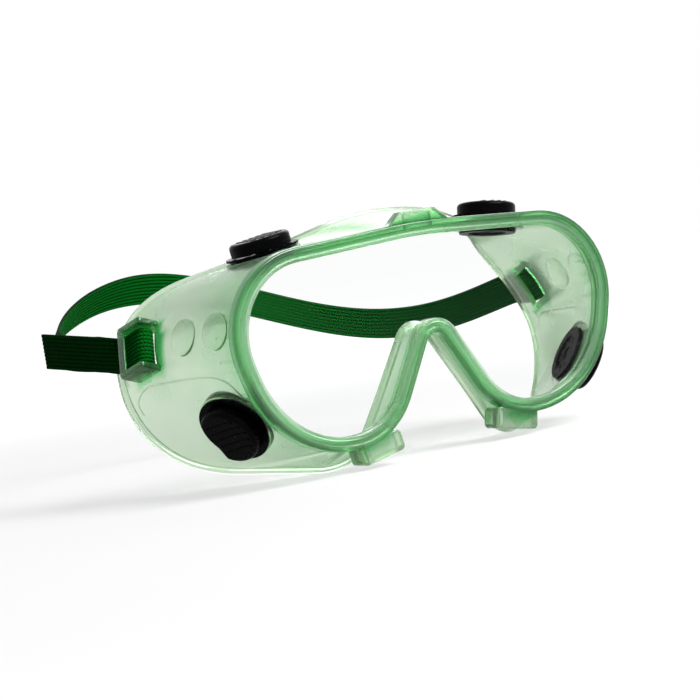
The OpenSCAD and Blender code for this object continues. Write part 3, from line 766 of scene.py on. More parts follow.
@dataclass
class Mask:
    """Shell of the soft mask: front ring with its lens groove, side wall and face rim.

    A corner of an outline is its x, its z and the radius of its rounding, and a top or a bridge is its z and
    its radius. A corner of the bead is how far it is out of the wall and back from the rim, in widths of the
    bead, and its radius.
    """

    ring_half: tuple[Corner, ...] = ((84.8, 29.5, 28.0), (66.3, -36.3, 38.0), (21.7, -36.3, 27.0))
    rim_half: tuple[Corner, ...] = ((84.0, 19.8, 44.0), (90.0, -34.0, 36.5), (30.6, -44.0, 17.0))
    ring_top: Pair = (34.4, 190.0)
    rim_top: Pair = (43.6, 100.0)
    ring_bridge: Pair = (1.2, 4.6)
    rim_bridge: Pair = (4.4, 6.2)
    ring_depth: float = 5.0
    ring_draft: float = 0.2
    ring_front_r: float = 0.8
    ring_back_r: float = 0.6
    lip_w: float = 4.8
    lip_t: float = 1.4
    lip_r: float = 0.5
    channel_in: float = 1.1
    channel_out: float = 1.6
    channel_slope: float = 0.3
    channel_t: float = 0.4
    channel_r: float = 0.3
    groove_skin: float = 1.9
    groove_w: float = 2.0
    step_in: float = 1.2
    step_back: float = 0.3
    step_r: float = 0.25
    wall: float = 1.8
    brow_depth: float = 24.8
    rim_sweep: float = 40.0
    rim_lean: float = 20.0
    nose_forward: float = 10.0
    bulge: float = 0.5
    bead: float = 1.0
    bead_outer: tuple[Corner, ...] = ((0.2, -2.0, 0.0), (1.0, -1.5, 0.4), (1.0, 0.0, 0.7))
    bead_inner: tuple[Corner, ...] = ((-0.4, 0.0, 0.7), (-0.4, -1.2, 0.5), (0.0, -2.0, 0.0))
    side_x: float = 60.0
    side_z: float = 27.0
    arc_steps: int = 18
    run_steps: int = 8
    wall_steps: int = 22
    profile_steps: int = 4

    def __post_init__(self) -> None:
        """Work out the ring and rim lines, their outward normals and the rim's depth.

        The rim sweeps back by the fourth power of a sine across the face, leaning, and comes forward to the
        nose.
        """
        self.ring, self.rim = (
            rounded(self.corners(*line), self.arc_steps, self.run_steps, True)
            for line in ((self.ring_top, self.ring_half, self.ring_bridge),
                         (self.rim_top, self.rim_half, self.rim_bridge)))
        self.ring_out = outward(self.ring)
        self.rim_out = outward(self.rim)
        self.front = -self.brow_depth
        self.wall_y = self.front + self.ring_depth + self.step_back
        x, z = self.rim.T
        side = np.sin(math.pi / 2 * x / x.max()) ** 4
        back = self.rim_sweep + z * math.tan(math.radians(self.rim_lean))
        self.rim_y = back * side - self.nose_forward * ease(1 - z / self.ring_top[0]) * (1 - side)

    def corners(self, top: Pair, half: tuple[Corner, ...], bridge: Pair) -> list[Corner]:
        """Mirror the right half's corners into a whole outline, clockwise from the top."""
        left = [(-x, z, r) for x, z, r in reversed(half)]
        return [(0.0, *top), *half, (0.0, *bridge), *left]

    def ring_row(self, out: float, back: float) -> np.ndarray:
        """Return the line round the ring, so far out of its outline and back from its front."""
        line = self.ring + self.ring_out * out
        return np.stack([line[:, 0], np.full(len(line), self.front + back), line[:, 1]], 1)

    def wall_row(self, share: float | np.ndarray, out: float = 0.0) -> np.ndarray:
        """Work out the line round the wall: straight from ring to rim, with a bulge of half a sine.

        Args:
            share: Share of the way from ring to rim, or a column with one for each station.
            out: Distance out of the wall's outer face.

        Returns:
            Array of points, shape (stations, 3).
        """
        normal = unit(blend(self.ring_out, self.rim_out, share))
        line = blend(self.ring - self.ring_out * self.step_in, self.rim, share)
        line = line + normal * (self.bulge * np.sin(math.pi * share) + out)
        y = blend(np.full(len(line), self.wall_y), self.rim_y - 2 * self.bead, np.ravel(share))
        return np.stack([line[:, 0], y, line[:, 1]], 1)

    def bead_row(self, out: float, back: float) -> np.ndarray:
        """Return the line round the rim's bead, so far out of the rim and back from its end."""
        line = self.rim + self.rim_out * out
        return np.stack([line[:, 0], self.rim_y + back, line[:, 1]], 1)

    def rows(self) -> np.ndarray:
        """Carry the cross-section round the mask: over ring, wall and bead, and inside back to the groove.

        Returns:
            Array of points, shape (rows, stations, 3).
        """
        lip, wall, bead, depth = self.lip_w, self.wall, self.bead, self.ring_depth
        groove, step = self.lip_t + self.groove_w, depth + self.step_back
        inner, outer, slope = self.channel_in - lip, -self.channel_out, self.channel_slope
        sunk, soft = self.channel_t, self.channel_r
        face = [(-lip, self.lip_t, 0.0), (-lip, 0.0, self.lip_r), (inner, 0.0, soft),
                (inner + slope, sunk, soft), (outer - slope, sunk, soft), (outer, 0.0, soft),
                (0.0, 0.0, self.ring_front_r), (self.ring_draft, depth, self.ring_back_r),
                (-self.step_in, step, 0.0)]
        end = [(out * bead, back * bead, r) for out, back, r in self.bead_outer]
        end += [(out * bead - wall, back * bead, r) for out, back, r in self.bead_inner]
        seat = [(-self.step_in - wall, step, 0.0), (-self.step_in - wall, depth, self.step_r),
                (-lip, depth, self.lip_r), (-lip, groove, 0.0), (-self.groove_skin, groove, 0.0),
                (-self.groove_skin, self.lip_t, 0.0)]
        face = rounded(face, steps=self.profile_steps, run=2, closed=False)[:-1]
        end = rounded(end, steps=self.profile_steps, run=1, closed=False)[1:-1]
        seat = rounded(seat, steps=self.profile_steps, run=1, closed=False)[1:]
        shares = np.linspace(0, 1, self.wall_steps + 1)
        return np.stack([self.ring_row(out, back) for out, back in face]
                        + [self.wall_row(share) for share in shares]
                        + [self.bead_row(out, back) for out, back in end]
                        + [self.wall_row(share, -wall) for share in shares[::-1]]
                        + [self.ring_row(out, back) for out, back in seat])

    def spot(self, station: int, share: float) -> Place:
        """Set up a spot on the wall, square to the lines along and across it.

        Args:
            station: Number of the point along the outline.
            share: Share of the way from ring to rim.

        Returns:
            The spot, with its z out of the wall and its x to the rear.
        """
        around = self.wall_row(share)
        along = around[(station + 1) % len(around)] - around[station - 1]
        back = self.wall_row(share + WALL_NUDGE)[station] - self.wall_row(share - WALL_NUDGE)[station]
        return place_out(around[station], np.cross(along, back))

    def nearest(self, near: Pair) -> int:
        """Return the station whose ring point is nearest to a point."""
        return int(np.linalg.norm(self.ring - near, axis=1).argmin())

    def temple(self, depth: float, height: float) -> Place:
        """Find the spot of the right wall that is at a depth and comes nearest to a height.

        Args:
            depth: Distance behind the origin.
            height: Height above the origin.

        Returns:
            The spot.
        """
        share = (depth - self.wall_y) / (self.rim_y - 2 * self.bead - self.wall_y)
        off = np.abs(self.wall_row(share[:, None])[:, 2] - height)
        off[self.ring[:, 0] <= self.ring_half[0][0] / 2] = np.inf
        station = int(off.argmin())
        return self.spot(station, float(share[station]))

    def side_at(self, z: float, share: float) -> np.ndarray:
        """Find a point of the right wall, straight between two stations.

        Args:
            z: Height of the ring point in front of it.
            share: Share of the way from ring to rim.

        Returns:
            The point, shape (3,).
        """
        side = np.flatnonzero((self.ring[:, 0] > self.side_x) & (np.abs(self.ring[:, 1]) < self.side_z))[::-1]
        station = np.interp(z, self.ring[side, 1], side)
        row, low = self.wall_row(share), int(station)
        return blend(row[low], row[low + 1], station - low)


@dataclass
class LensClips:
    """Three clips that hold the lens by its tabs: one at the brow and one on each side of the nose."""

    skin: float = 1.1
    edge: float = 0.5
    slot_play: float = 0.05
    tab_play: float = 0.2
    pocket_r: float = 0.3
    brow_foot: float = 26.0
    brow_foot_r: float = 0.4
    brow_crest: float = 14.0
    brow_crest_r: float = 1.2
    brow_high: float = 3.6
    brow_root: float = 1.4
    brow_tab: float = 10.5
    brow_inward: float = 2.0
    brow_steps: int = 5
    nose_x: float = 28.5
    nose_slope: float = 11.0
    nose_long: float = 17.0
    nose_drop: float = 5.6
    nose_deep: float = 8.0
    nose_root: float = 1.5
    nose_r: float = 1.6
    nose_tab: float = 12.0
    nose_over: float = 3.0
    hollow_l: float = 14.0
    hollow_h: float = 4.4
    hollow_r: float = 0.8
    hollow_deep: float = 3.0
    hollow_end: float = 5.0
    hollow_down: float = 2.1
    hollow_back: float = 3.4

    def build(self, mask: Mask) -> tuple[Objects, Objects]:
        """Make the clips as rounded blocks on the ring, and the pockets for the tabs in the groove's plane.

        Args:
            mask: Mask that carries them.

        Returns:
            The clips, and the pockets to cut.
        """
        middle = mask.front + mask.lip_t + mask.groove_w / 2
        depth = mask.groove_w / 2 + self.skin
        slot = mask.groove_w / 2 + self.slot_play
        brow = Place(np.array([0.0, middle, mask.ring_top[0]]), RIGHTWARD, UPRIGHT, -REARWARD)
        foot, crest, high = self.brow_foot / 2, self.brow_crest / 2, self.brow_high
        line = rounded([(-foot, -self.brow_root, self.brow_foot_r), (foot, -self.brow_root, self.brow_foot_r),
                        (crest, high, self.brow_crest_r), (-crest, high, self.brow_crest_r)],
                       steps=self.brow_steps, run=2, closed=True)
        solids = [slab("brow_clip", brow, line, -depth, depth, self.edge)]
        rise, inward = high - self.skin, mask.groove_skin + self.brow_inward
        pocket = block(self.brow_tab + self.tab_play, rise + inward, self.pocket_r)
        cuts = [slab("brow_pocket", brow.moved(0, (rise - inward) / 2, 0), pocket, -slot, slot)]

        slope = math.radians(self.nose_slope)
        ground = mask.ring[mask.nearest((self.nose_x, mask.ring_half[2][1])), 1]
        nose = Place(np.array([self.nose_x, middle, ground]),
                     np.array([math.cos(slope), 0, -math.sin(slope)]),
                     np.array([math.sin(slope), 0, math.cos(slope)]), -REARWARD)
        sleeve = block(self.nose_long, self.nose_drop + self.nose_root, self.nose_r)
        fall = self.nose_drop - self.skin
        pocket = block(self.nose_tab + self.tab_play, mask.groove_skin + fall + self.nose_over, self.pocket_r)
        hollow = block(self.hollow_l, self.hollow_h, self.hollow_r)
        for side in Side:
            there = nose.on(side)
            solids.append(slab("nose_clip", there.moved(0, (self.nose_root - self.nose_drop) / 2, 0), sleeve,
                               depth - self.nose_deep, depth, self.edge))
            cuts.append(slab("nose_pocket", there.moved(0, (mask.groove_skin - fall) / 2, 0), pocket,
                             -slot, slot))
            open_end = there.moved(self.hollow_end - self.nose_long / 2, -self.hollow_down, -self.hollow_back)
            cuts.append(slab("nose_hollow", open_end, hollow, -self.hollow_deep / 2, self.hollow_deep / 2))
        return solids, cuts


@dataclass
class Brackets:
    """Strap brackets of both sides: a bar, two cheeks, a keeper and the window in the wall behind the bar."""

    cheek_t: float = 2.2
    cheek_root: float = 1.5
    cheek_r: float = 1.1
    cheek_edge: float = 0.55
    cheek_front: float = 1.2
    keeper_y: float = 4.8
    keeper_l: float = 3.2
    keeper_t: float = 1.1
    keeper_gap: float = 0.8
    keeper_round: float = 0.45
    strap_play: float = 0.8
    window_front: float = -0.45
    window_back: float = 8.4
    window_side: float = 0.3
    bar_steps: int = 40

    def build(self, strap: "Strap", wall: float) -> tuple[Objects, Objects]:
        """Make the bars, cheeks and keepers as rounded blocks in the bar's own frame, and the windows.

        Args:
            strap: Strap that they hold.
            wall: Thickness of the mask's wall.

        Returns:
            The solid pieces, and the windows to cut.
        """
        turned = strap.wrap_r + strap.thick / 2
        front, rear = turned + self.cheek_front, self.keeper_y + self.keeper_l
        crest, foot = turned + self.keeper_gap + self.keeper_t, strap.bar_out + self.cheek_root
        half = strap.width / 2 + self.strap_play + self.cheek_t / 2
        high, low = self.strap_play - strap.bar_out, -strap.bar_out - 2 * wall
        ahead = turned + self.window_front
        wide = strap.width / 2 + self.window_side
        round_bar = circle(strap.bar_r, self.bar_steps)
        cheek = block(crest + foot, rear + front, self.cheek_r)
        keeper = block(self.keeper_t, self.keeper_l, self.keeper_round * self.keeper_t)
        window = block(high - low, self.window_back + ahead, 0.0)
        solids, windows = [], []
        for side in Side:
            bar = strap.bar.on(side)
            solids.append(slab("bar", bar, round_bar, -half, half))
            for up in (-half, half):
                spot = bar.moved((crest - foot) / 2, (rear - front) / 2, up)
                solids.append(slab("cheek", spot, cheek, -self.cheek_t / 2, self.cheek_t / 2,
                                   self.cheek_edge))
            spot = bar.moved(crest - self.keeper_t / 2, self.keeper_y + self.keeper_l / 2, 0)
            solids.append(slab("keeper", spot, keeper, -half, half))
            spot = bar.moved((low + high) / 2, (self.window_back - ahead) / 2, 0)
            windows.append(slab("window", spot, window, -wide, wide))
        return solids, windows


@dataclass
class SideRelief:
    """What is raised on both sides of the wall: round marks and a panel line outside, gussets inside.

    The panel line is given by the ring's height in front of each point and its share of the way back.
    """

    mark_r: float = 6.2
    mark_h: float = 0.4
    mark_z: float = 11.0
    mark_edge: float = 0.15
    mark_shares: Pair = (0.135, 0.41)
    gusset_l: float = 7.5
    gusset_w: float = 0.9
    gusset_h: float = 0.6
    gusset_r: float = 0.4
    gusset_root: float = 0.4
    gusset_share: float = 0.08
    gusset_z: tuple[float, ...] = (17.5, 8.5, -4.6, -18.6)
    panel: tuple[Pair, ...] = ((-18.6, 0.925), (-13.8, 0.913), (-8.7, 0.775), (-5.8, 0.5), (-5.8, 0.25),
                               (-8.7, 0.125), (-13.8, 0.062))
    panel_r: float = 0.4
    panel_sunk: float = 0.12
    panel_out: Point = (1.0, -0.2, 0.0)
    panel_steps: int = 14
    panel_sides: int = 8

    def build(self, mask: Mask) -> Objects:
        """Make the marks, the gussets and the panel lines.

        Args:
            mask: Mask that carries them.

        Returns:
            The new objects.
        """
        outer = mask.ring_half[0][0]
        found = []
        for share in self.mark_shares:
            spot = mask.spot(mask.nearest((outer, self.mark_z)), share)
            found += [slab("mark", spot.on(side), circle(self.mark_r), -mask.wall / 2, self.mark_h,
                           self.mark_edge) for side in Side]
        bar = block(self.gusset_l, self.gusset_w, self.gusset_r)
        for z in self.gusset_z:
            spot = mask.spot(mask.nearest((outer, z)), self.gusset_share)
            found += [slab("gusset", spot.on(side), bar, -mask.wall - self.gusset_h,
                           self.gusset_root - mask.wall) for side in Side]
        return found + self.panel_lines(mask)

    def panel_lines(self, mask: Mask) -> Objects:
        """Carry a circle along the panel's edge on the wall, a little sunk in it.

        Args:
            mask: Mask that carries it.

        Returns:
            The line of each side.
        """
        where = spline(np.array(self.panel), self.panel_steps)
        line = np.stack([mask.side_at(z, share) for z, share in where])
        along = unit(np.gradient(line, axis=0))
        out = np.broadcast_to(unit(np.array(self.panel_out)), line.shape)
        out = unit(out - along * (out * along).sum(1, keepdims=True))
        turn = np.linspace(0, 2 * math.pi, self.panel_sides, endpoint=False)[None, :, None]
        around = np.cos(turn) * out[:, None] + np.sin(turn) * np.cross(along, out)[:, None]
        tube = line[:, None] - self.panel_sunk * out[:, None] + self.panel_r * around
        return [surface("panel_line", tube * [side.value, 1, 1] * MM, close_cols=True, caps=True)
                for side in Side]


@dataclass
class VentSeatings:
    """Where the vents sit in the wall: a boss on both faces, a hole, and a flat face for cap and flange."""

    boss_r: float = 12.8
    boss_h: float = 0.9
    boss_edge: float = 0.35
    hole_r: float = 8.6
    hole_reach: float = 8.0
    spot_r: float = 12.65
    under_r: float = 10.45
    face_reach: float = 6.0

    def build(self, vents: list[Place], wall: float) -> tuple[Objects, Objects]:
        """Make the bosses and what is cut for the vents, as discs square to each vent's axis.

        Args:
            vents: Spots of the vents.
            wall: Thickness of the mask's wall.

        Returns:
            The bosses, and the discs to cut.
        """
        top, bottom = self.boss_h, -wall - self.boss_h
        bosses = [slab("boss", vent, circle(self.boss_r), bottom, top, self.boss_edge) for vent in vents]
        cuts = []
        for vent in vents:
            cuts.append(slab("hole", vent, circle(self.hole_r), -self.hole_reach, self.hole_reach))
            cuts.append(slab("spot_face", vent, circle(self.spot_r), top, top + self.face_reach))
            cuts.append(slab("under_face", vent, circle(self.under_r), bottom - self.face_reach, bottom))
        return bosses, cuts


@dataclass
class GreenMap:
    """How green each part of the moulding is, from 0 where it is clear to 1 where it is deepest, with painted
    shade on the ring's right and top and on the strap brackets.

    The rows for the ring's face pair a distance out of its outline with the green there, and those of the lip
    count from its inner edge. The painted shade on the ring's right and top starts at the first value of each
    pair and comes over the second. bracket_back and root_high say the middle of a range and its reach to both
    sides.
    """

    wall_green: float = 0.22
    wall_reach: float = 30.0
    wall_high: float = 25.0
    wall_low_share: float = 0.5
    wall_wide: float = 40.0
    step_from: float = 2.0
    step_reach: float = 7.0
    ring_back: float = 0.2
    ring_end: float = 0.5
    lip_rows: tuple[Pair, ...] = ((0.0, 0.14), (1.2, 0.24))
    face_rows: tuple[Pair, ...] = ((-2.0, 0.42), (-1.7, 0.18), (-0.6, 0.46), (0.1, 0.58))
    # Painted shade: the rows, start, reach and top share of the extra green that darkens the ring's right and
    # top.
    dark_rows: tuple[Pair, ...] = ((-3.0, 0.0), (-1.9, 0.2), (-1.7, 0.05), (-0.6, 0.45), (0.1, 0.6))
    dark_right: Pair = (-20.0, 80.0)
    dark_top: Pair = (8.0, 20.0)
    dark_top_share: float = 0.6
    clip_green: float = 0.1
    # Painted shade on the brackets: dark green for the strap and its shade seen through the bracket, its root
    # and the window's edge.
    bracket_back: Pair = (2.0, 8.0)
    bracket_tall: float = 10.0
    bracket_low: float = -1.7
    bracket_green: float = 0.9
    root_high: Pair = (-3.4, 1.7)
    root_green: float = 0.35
    window_back: float = 1.0
    window_tall: float = 8.0
    window_green: float = 0.8

    def wall_values(self, points: np.ndarray, behind: np.ndarray) -> np.ndarray:
        """Work out the wall's green: full at the step, easing off to the rear, downward and rightward.

        Args:
            points: Points in millimetres, shape (n, 3).
            behind: How far each is behind the ring.

        Returns:
            The green of each point.
        """
        low = self.wall_low_share
        fade = (1 - ease(behind / self.wall_reach)) * (low + (1 - low) * ease(points[:, 2] / self.wall_high))
        fade = fade * ease(0.5 - points[:, 0] / self.wall_wide)
        return self.wall_green * np.maximum(fade, 1 - ease((behind - self.step_from) / self.step_reach))

    def ring_values(self, flat: np.ndarray, mask: Mask) -> np.ndarray:
        """Work out the ring's green: in bands from its lip to its outer edge, with painted shade that makes it
        darker at the right and top.

        Args:
            flat: Points of the ring as x and z in millimetres, shape (n, 2).
            mask: Mask that the ring belongs to.

        Returns:
            The green of each point.
        """
        near = np.linalg.norm(flat[:, None] - mask.ring[None], axis=2).argmin(1)
        out = ((flat - mask.ring[near]) * mask.ring_out[near]).sum(1)
        # Painted shade: more green, so a darker ring, towards its right and top.
        right = ease((flat[:, 0] - self.dark_right[0]) / self.dark_right[1])
        top = ease((flat[:, 1] - self.dark_top[0]) / self.dark_top[1])
        dark = np.maximum(right, self.dark_top_share * top)
        rows = [(far - mask.lip_w, green) for far, green in self.lip_rows] + list(self.face_rows)
        bands = np.interp(out, *zip(*rows)) + dark * np.interp(out, *zip(*self.dark_rows))
        return np.where(out < self.ring_end, bands, np.where(flat[:, 1] > 0, self.clip_green, 0.0))

    def mark(self, moulding: bpy.types.Object, mask: Mask, bar: Place) -> None:
        """Write the green to the moulding's points: the ring's outer edge has the most, and the brackets get
        painted shade: dark green for the strap and its shade seen through them.

        Args:
            moulding: Object that gets the attribute.
            mask: Mask that it was built from.
            bar: Spot of the right bar.
        """
        points = np.empty(3 * len(moulding.data.vertices), np.float32)
        moulding.data.vertices.foreach_get("co", points)
        points = points.reshape(-1, 3) / MM
        value = self.wall_values(points, points[:, 1] - mask.front - mask.ring_depth)
        ring = np.flatnonzero(points[:, 1] < mask.front + mask.ring_depth + self.ring_back)
        value[ring] = self.ring_values(points[ring][:, [0, 2]], mask)
        # Painted shade: the bracket, its root and the window's edge get dark green for the strap and its shade
        # seen through them.
        for side in Side:
            there = bar.on(side)
            away = points - there.middle
            high, back, up = away @ there.x, away @ there.y, np.abs(away @ there.z)
            beside = (np.abs(back - self.bracket_back[0]) < self.bracket_back[1]) & (up < self.bracket_tall)
            root = beside & (np.abs(high - self.root_high[0]) < self.root_high[1])
            value[root] = self.root_green
            value[root & (back < self.window_back) & (up < self.window_tall)] = self.window_green
            value[beside & (high > self.bracket_low)] = self.bracket_green
        attribute = moulding.data.attributes.new(GREEN_AND_SHADE_NAME, "FLOAT", "POINT")
        attribute.data.foreach_set("value", value.astype(np.float32))


@dataclass
class Moulding:
    """The whole mask in one piece: its shell with clips, brackets, side relief and seatings for the vents."""

    mask: Mask = field(default_factory=Mask)
    clips: LensClips = field(default_factory=LensClips)
    brackets: Brackets = field(default_factory=Brackets)
    relief: SideRelief = field(default_factory=SideRelief)
    seatings: VentSeatings = field(default_factory=VentSeatings)
    green: GreenMap = field(default_factory=GreenMap)
    crease: float = 40.0

    def build(self, vents: list[Place], strap: "Strap") -> bpy.types.Object:
        """Make the whole moulding as one closed mesh.

        Args:
            vents: Spots of the vents on the wall.
            strap: The strap that the side bars hold.

        Returns:
            The new object.
        """
        moulding = surface("mask_moulding", self.mask.rows() * MM, close_rows=True, close_cols=True,
                           crease=self.crease)
        clips, pockets = self.clips.build(self.mask)
        brackets, windows = self.brackets.build(strap, self.mask.wall)
        relief = self.relief.build(self.mask)
        bosses, seats = self.seatings.build(vents, self.mask.wall)
        combine(moulding, clips + brackets + relief + bosses, Joining.ADD, self.crease)
        combine(moulding, pockets + windows + seats, Joining.CUT, self.crease)
        self.green.mark(moulding, self.mask, strap.bar)
        return moulding


@dataclass
class Strap:
    """Elastic head strap: an ellipse in plan, taken round a bar on each side, with two loose tails.

    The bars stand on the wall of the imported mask, so that the strap lies where its solids do. roll_start and
    roll_end say at which angle the strap starts or ends to lean, and over how many degrees.
    """

    packed: Mask
    width: float = 12.0
    thick: float = 1.3
    z: float = 6.0
    lift: float = 4.0
    lean: float = 21.0
    arch: float = 13.0
    roll: float = 30.0
    roll_start: Pair = (75.0, 45.0)
    roll_end: Pair = (185.0, 40.0)
    twist: float = 24.0
    clear: float = 3.2
    long: float = 83.0
    bar_depth: float = 23.0
    bar_tilt: float = 20.0
    bar_r: float = 1.6
    bar_play: float = 0.3
    bar_out: float = 2.0
    gap: float = 0.5
    settle: float = 11.0
    root: float = 10.0
    overlap: float = 3.0
    over_start: float = 0.4
    tail_rise: float = 8.0
    tail_left: float = 46.0
    tail_right: float = 21.0
    ribs: int = 9
    rib_h: float = 0.2
    rib_steps: int = 8
    over_steps: int = 20
    wrap_steps: int = 26
    loop_steps: int = 300
    root_steps: int = 3
    tail_steps: int = 60
    bend_steps: int = 22
    ahead_turn: float = 0.01
    crease: float = 60.0

    def __post_init__(self) -> None:
        """Stand the bar on the wall, and start the loop at its inner side in the ellipse's own direction."""
        self.wrap_r = self.bar_r + self.bar_play + self.thick / 2
        foot = self.packed.temple(self.bar_depth, self.z)
        tilt = math.radians(self.bar_tilt)
        x, y = foot.z, foot.x * math.cos(tilt) - foot.y * math.sin(tilt)
        level = foot.moved(0, (self.z - foot.middle[2]) / foot.y[2], self.bar_out)
        self.bar = Place(level.middle, x, y, np.cross(x, y))
        beside = np.abs(self.packed.rim[:, 1] - self.z) < self.width / 2 + 2 * self.packed.bead
        self.half = self.packed.rim[beside, 0].max() + self.packed.bead + self.clear
        inner = self.bar.middle - x * self.wrap_r
        heading = math.atan2(self.half * self.way_in(inner), self.long * inner[0] / self.half)
        self.flare = heading - math.atan2(y[0], y[1])
        self.start = self.bar.middle + self.wrap_r * (math.sin(self.flare) * y - math.cos(self.flare) * x)
        way = math.sin(self.flare) * x + math.cos(self.flare) * y
        self.dip = way[2] / math.hypot(way[0], way[1])
        self.mid = self.start[1] + self.long * self.way_in(self.start)
        self.first = -math.acos(self.start[0] / self.half)

    def way_in(self, point: np.ndarray) -> float:
        """Return the ellipse's share of its half depth at a point's x."""
        return math.sqrt(1 - (point[0] / self.half) ** 2)

    def turn_at(self, side: Side, run: np.ndarray) -> np.ndarray:
        """Return the loop's angle in radians at lengths from a side's bar."""
        turn = self.first + run / self.long
        return turn if side is Side.RIGHT else math.pi - turn

    def run_of(self, turn: np.ndarray) -> np.ndarray:
        """Return the length from the nearer bar at angles in radians."""
        return np.minimum(turn - self.first, math.pi - self.first - turn) * self.long

    def loop_z(self, turn: np.ndarray) -> np.ndarray:
        """Work out how far the slack loop rises: two cosines, faded at both bars by a sine squared.

        Args:
            turn: Angles in radians.

        Returns:
            The rise at each angle.
        """
        way = (turn - self.first) / (math.pi - 2 * self.first)
        rise = self.lift - self.lean * np.cos(turn) - self.arch * np.cos(2 * turn)
        return rise * np.sin(math.pi * way) ** 2

    def run_at(self, turn: np.ndarray) -> np.ndarray:
        """Work out the loop's middle line: an ellipse in plan, eased from the bar's slope to its own height.

        Args:
            turn: Angles in radians, from the right bar round to the left one.

        Returns:
            Array of points, shape (n, 3).
        """
        run = self.run_of(turn)
        level = blend(self.start[2] + self.dip * run, self.z, ease(run / self.twist))
        return np.stack([self.half * np.cos(turn), self.mid + self.long * np.sin(turn),
                         level + self.loop_z(turn)], 1)

    def untwisted(self, run: np.ndarray) -> np.ndarray:
        """Return the width's direction at lengths from the right bar, eased from the bar's to upright."""
        return unit(blend(self.bar.z, UPRIGHT, ease(run / self.twist)[:, None]))

    def run_up(self, turn: np.ndarray) -> np.ndarray:
        """Work out the direction of the strap's width: it twists off the bars and leans over at the rear.

        Args:
            turn: Angles in radians.

        Returns:
            Array of directions, shape (n, 3).
        """
        near = self.untwisted(self.run_of(turn))
        near[:, 0] *= np.where(turn > math.pi / 2, -1.0, 1.0)
        angle = np.degrees(turn)
        rolled = ease((angle - self.roll_start[0]) / self.roll_start[1])
        lie = math.radians(self.roll) * rolled * ease((self.roll_end[0] - angle) / self.roll_end[1])
        out = unit(np.stack([self.long * np.cos(turn), self.half * np.sin(turn)], 1))
        lean = np.column_stack([-out * np.sin(lie)[:, None], np.cos(lie)])
        return unit(near + lean - UPRIGHT)

    def layer(self, side: Side, run: np.ndarray) -> tuple[np.ndarray, np.ndarray]:
        """Work out the outer layer: it comes off the bar and settles on the loop at a small gap.

        Args:
            side: Which bar it comes from.
            run: Lengths from the bar.

        Returns:
            Its middle line and the directions of its width, shape (n, 3) each.
        """
        turn = self.turn_at(side, run)
        point, up = self.run_at(turn), self.run_up(turn)
        ahead = self.run_at(turn + self.ahead_turn) - self.run_at(turn - self.ahead_turn)
        out = unit(np.cross(ahead, up))
        off = blend(2 * self.wrap_r, self.thick + self.gap, ease(run / self.settle))
        return point + out * off[:, None], up

    def main_route(self) -> tuple[np.ndarray, np.ndarray]:
        """Join the route from the right keeper round the bars and the back to the left keeper.

        Returns:
            The middle line and the directions of its width, shape (n, 3) each.
        """
        over = np.linspace(self.root - self.overlap, self.over_start, self.over_steps)
        angle = -self.flare - np.linspace(0, math.pi, self.wrap_steps)
        bend = np.cos(angle)[:, None] * self.bar.x + np.sin(angle)[:, None] * self.bar.y
        wrap = self.bar.middle + self.wrap_r * bend
        turn = np.linspace(self.first, math.pi - self.first, self.loop_steps + 2)[1:-1]
        right, right_up = self.layer(Side.RIGHT, over)
        left, left_up = self.layer(Side.LEFT, over)
        along = np.broadcast_to(self.bar.z, wrap.shape)
        route = [right, wrap, self.run_at(turn), wrap[::-1] * MIRROR, left[::-1]]
        ups = [right_up, along, self.run_up(turn), along * MIRROR, left_up[::-1]]
        return np.concatenate(route), np.concatenate(ups)

    def tail_route(self, side: Side, length: float) -> tuple[np.ndarray, np.ndarray]:
        """Work out a tail's route: out of the keeper with the outer layer, then straight on and a little up.

        Args:
            side: Which tail it is.
            length: Length from the bar to the tail's end.

        Returns:
            The middle line and the directions of its width, shape (n, 3) each.
        """
        start = np.linspace(self.root - self.overlap, self.root, self.root_steps + 1)
        inner, inner_up = self.layer(side, start[:-1])
        root, _ = self.layer(side, start[-1:])
        turn = self.turn_at(side, np.array([self.root, self.root + 1.0]))
        ahead = np.diff(self.run_at(turn), axis=0)[0]
        ahead[2] = math.hypot(ahead[0], ahead[1]) * math.tan(math.radians(self.tail_rise))
        run = np.linspace(self.root, length, self.tail_steps)
        up = self.untwisted(run)
        up[:, 0] *= side.value
        straight = root + unit(ahead) * (run - self.root)[:, None]
        return np.concatenate([inner, straight]), np.concatenate([inner_up, up])

    def band(self, name: str, route: np.ndarray, ups: np.ndarray) -> bpy.types.Object:
        """Carry the ribbed cross-section along a route: each rib is half a sine across both faces.

        Args:
            name: Name of the new object.
            route: Points of the middle line in millimetres, shape (n, 3).
            ups: Direction of the strap's width at each point, shape (n, 3).

        Returns:
            The new object.
        """
        across = np.linspace(-0.5, 0.5, self.ribs * self.rib_steps + 1)
        rib = np.abs(np.sin(np.pi * self.ribs * (across + 0.5)))
        thick = self.thick / 2 - self.rib_h * (1 - rib)
        edge = np.concatenate([across, across[::-1]]) * self.width
        offset = np.concatenate([thick, -thick[::-1]])
        side = unit(np.cross(ups, np.gradient(route, axis=0)))
        run = np.concatenate([[0], np.cumsum(np.linalg.norm(np.diff(route, axis=0), axis=1))])
        grid = route[:, None] + side[:, None] * offset[None, :, None] + ups[:, None] * edge[None, :, None]
        uvs = np.stack(np.broadcast_arrays((run * MM)[:, None], (edge / self.width + 0.5)[None, :]), 2)
        return surface(name, grid * MM, close_cols=True, uvs=uvs, caps=True, crease=self.crease)

    def build(self) -> dict[str, bpy.types.Object]:
        """Make the loop and both tails.

        Returns:
            The new objects by the names of their places.
        """
        return {
            "loop": self.band("strap_loop", *self.main_route()),
            "tail_left": self.band("strap_end_left", *self.tail_route(Side.LEFT, self.tail_left)),
            "tail_right": self.band("strap_end_right", *self.tail_route(Side.RIGHT, self.tail_right)),
        }

    def hinge(self, side: Side) -> tuple[tuple[float, ...], tuple[float, ...]]:
        """Return where a tail starts to bend and where it is clear of its root, in metres."""
        route, _ = self.tail_route(side, self.tail_right)
        return tuple(route[self.root_steps] * MM), tuple(route[self.root_steps + self.bend_steps] * MM)


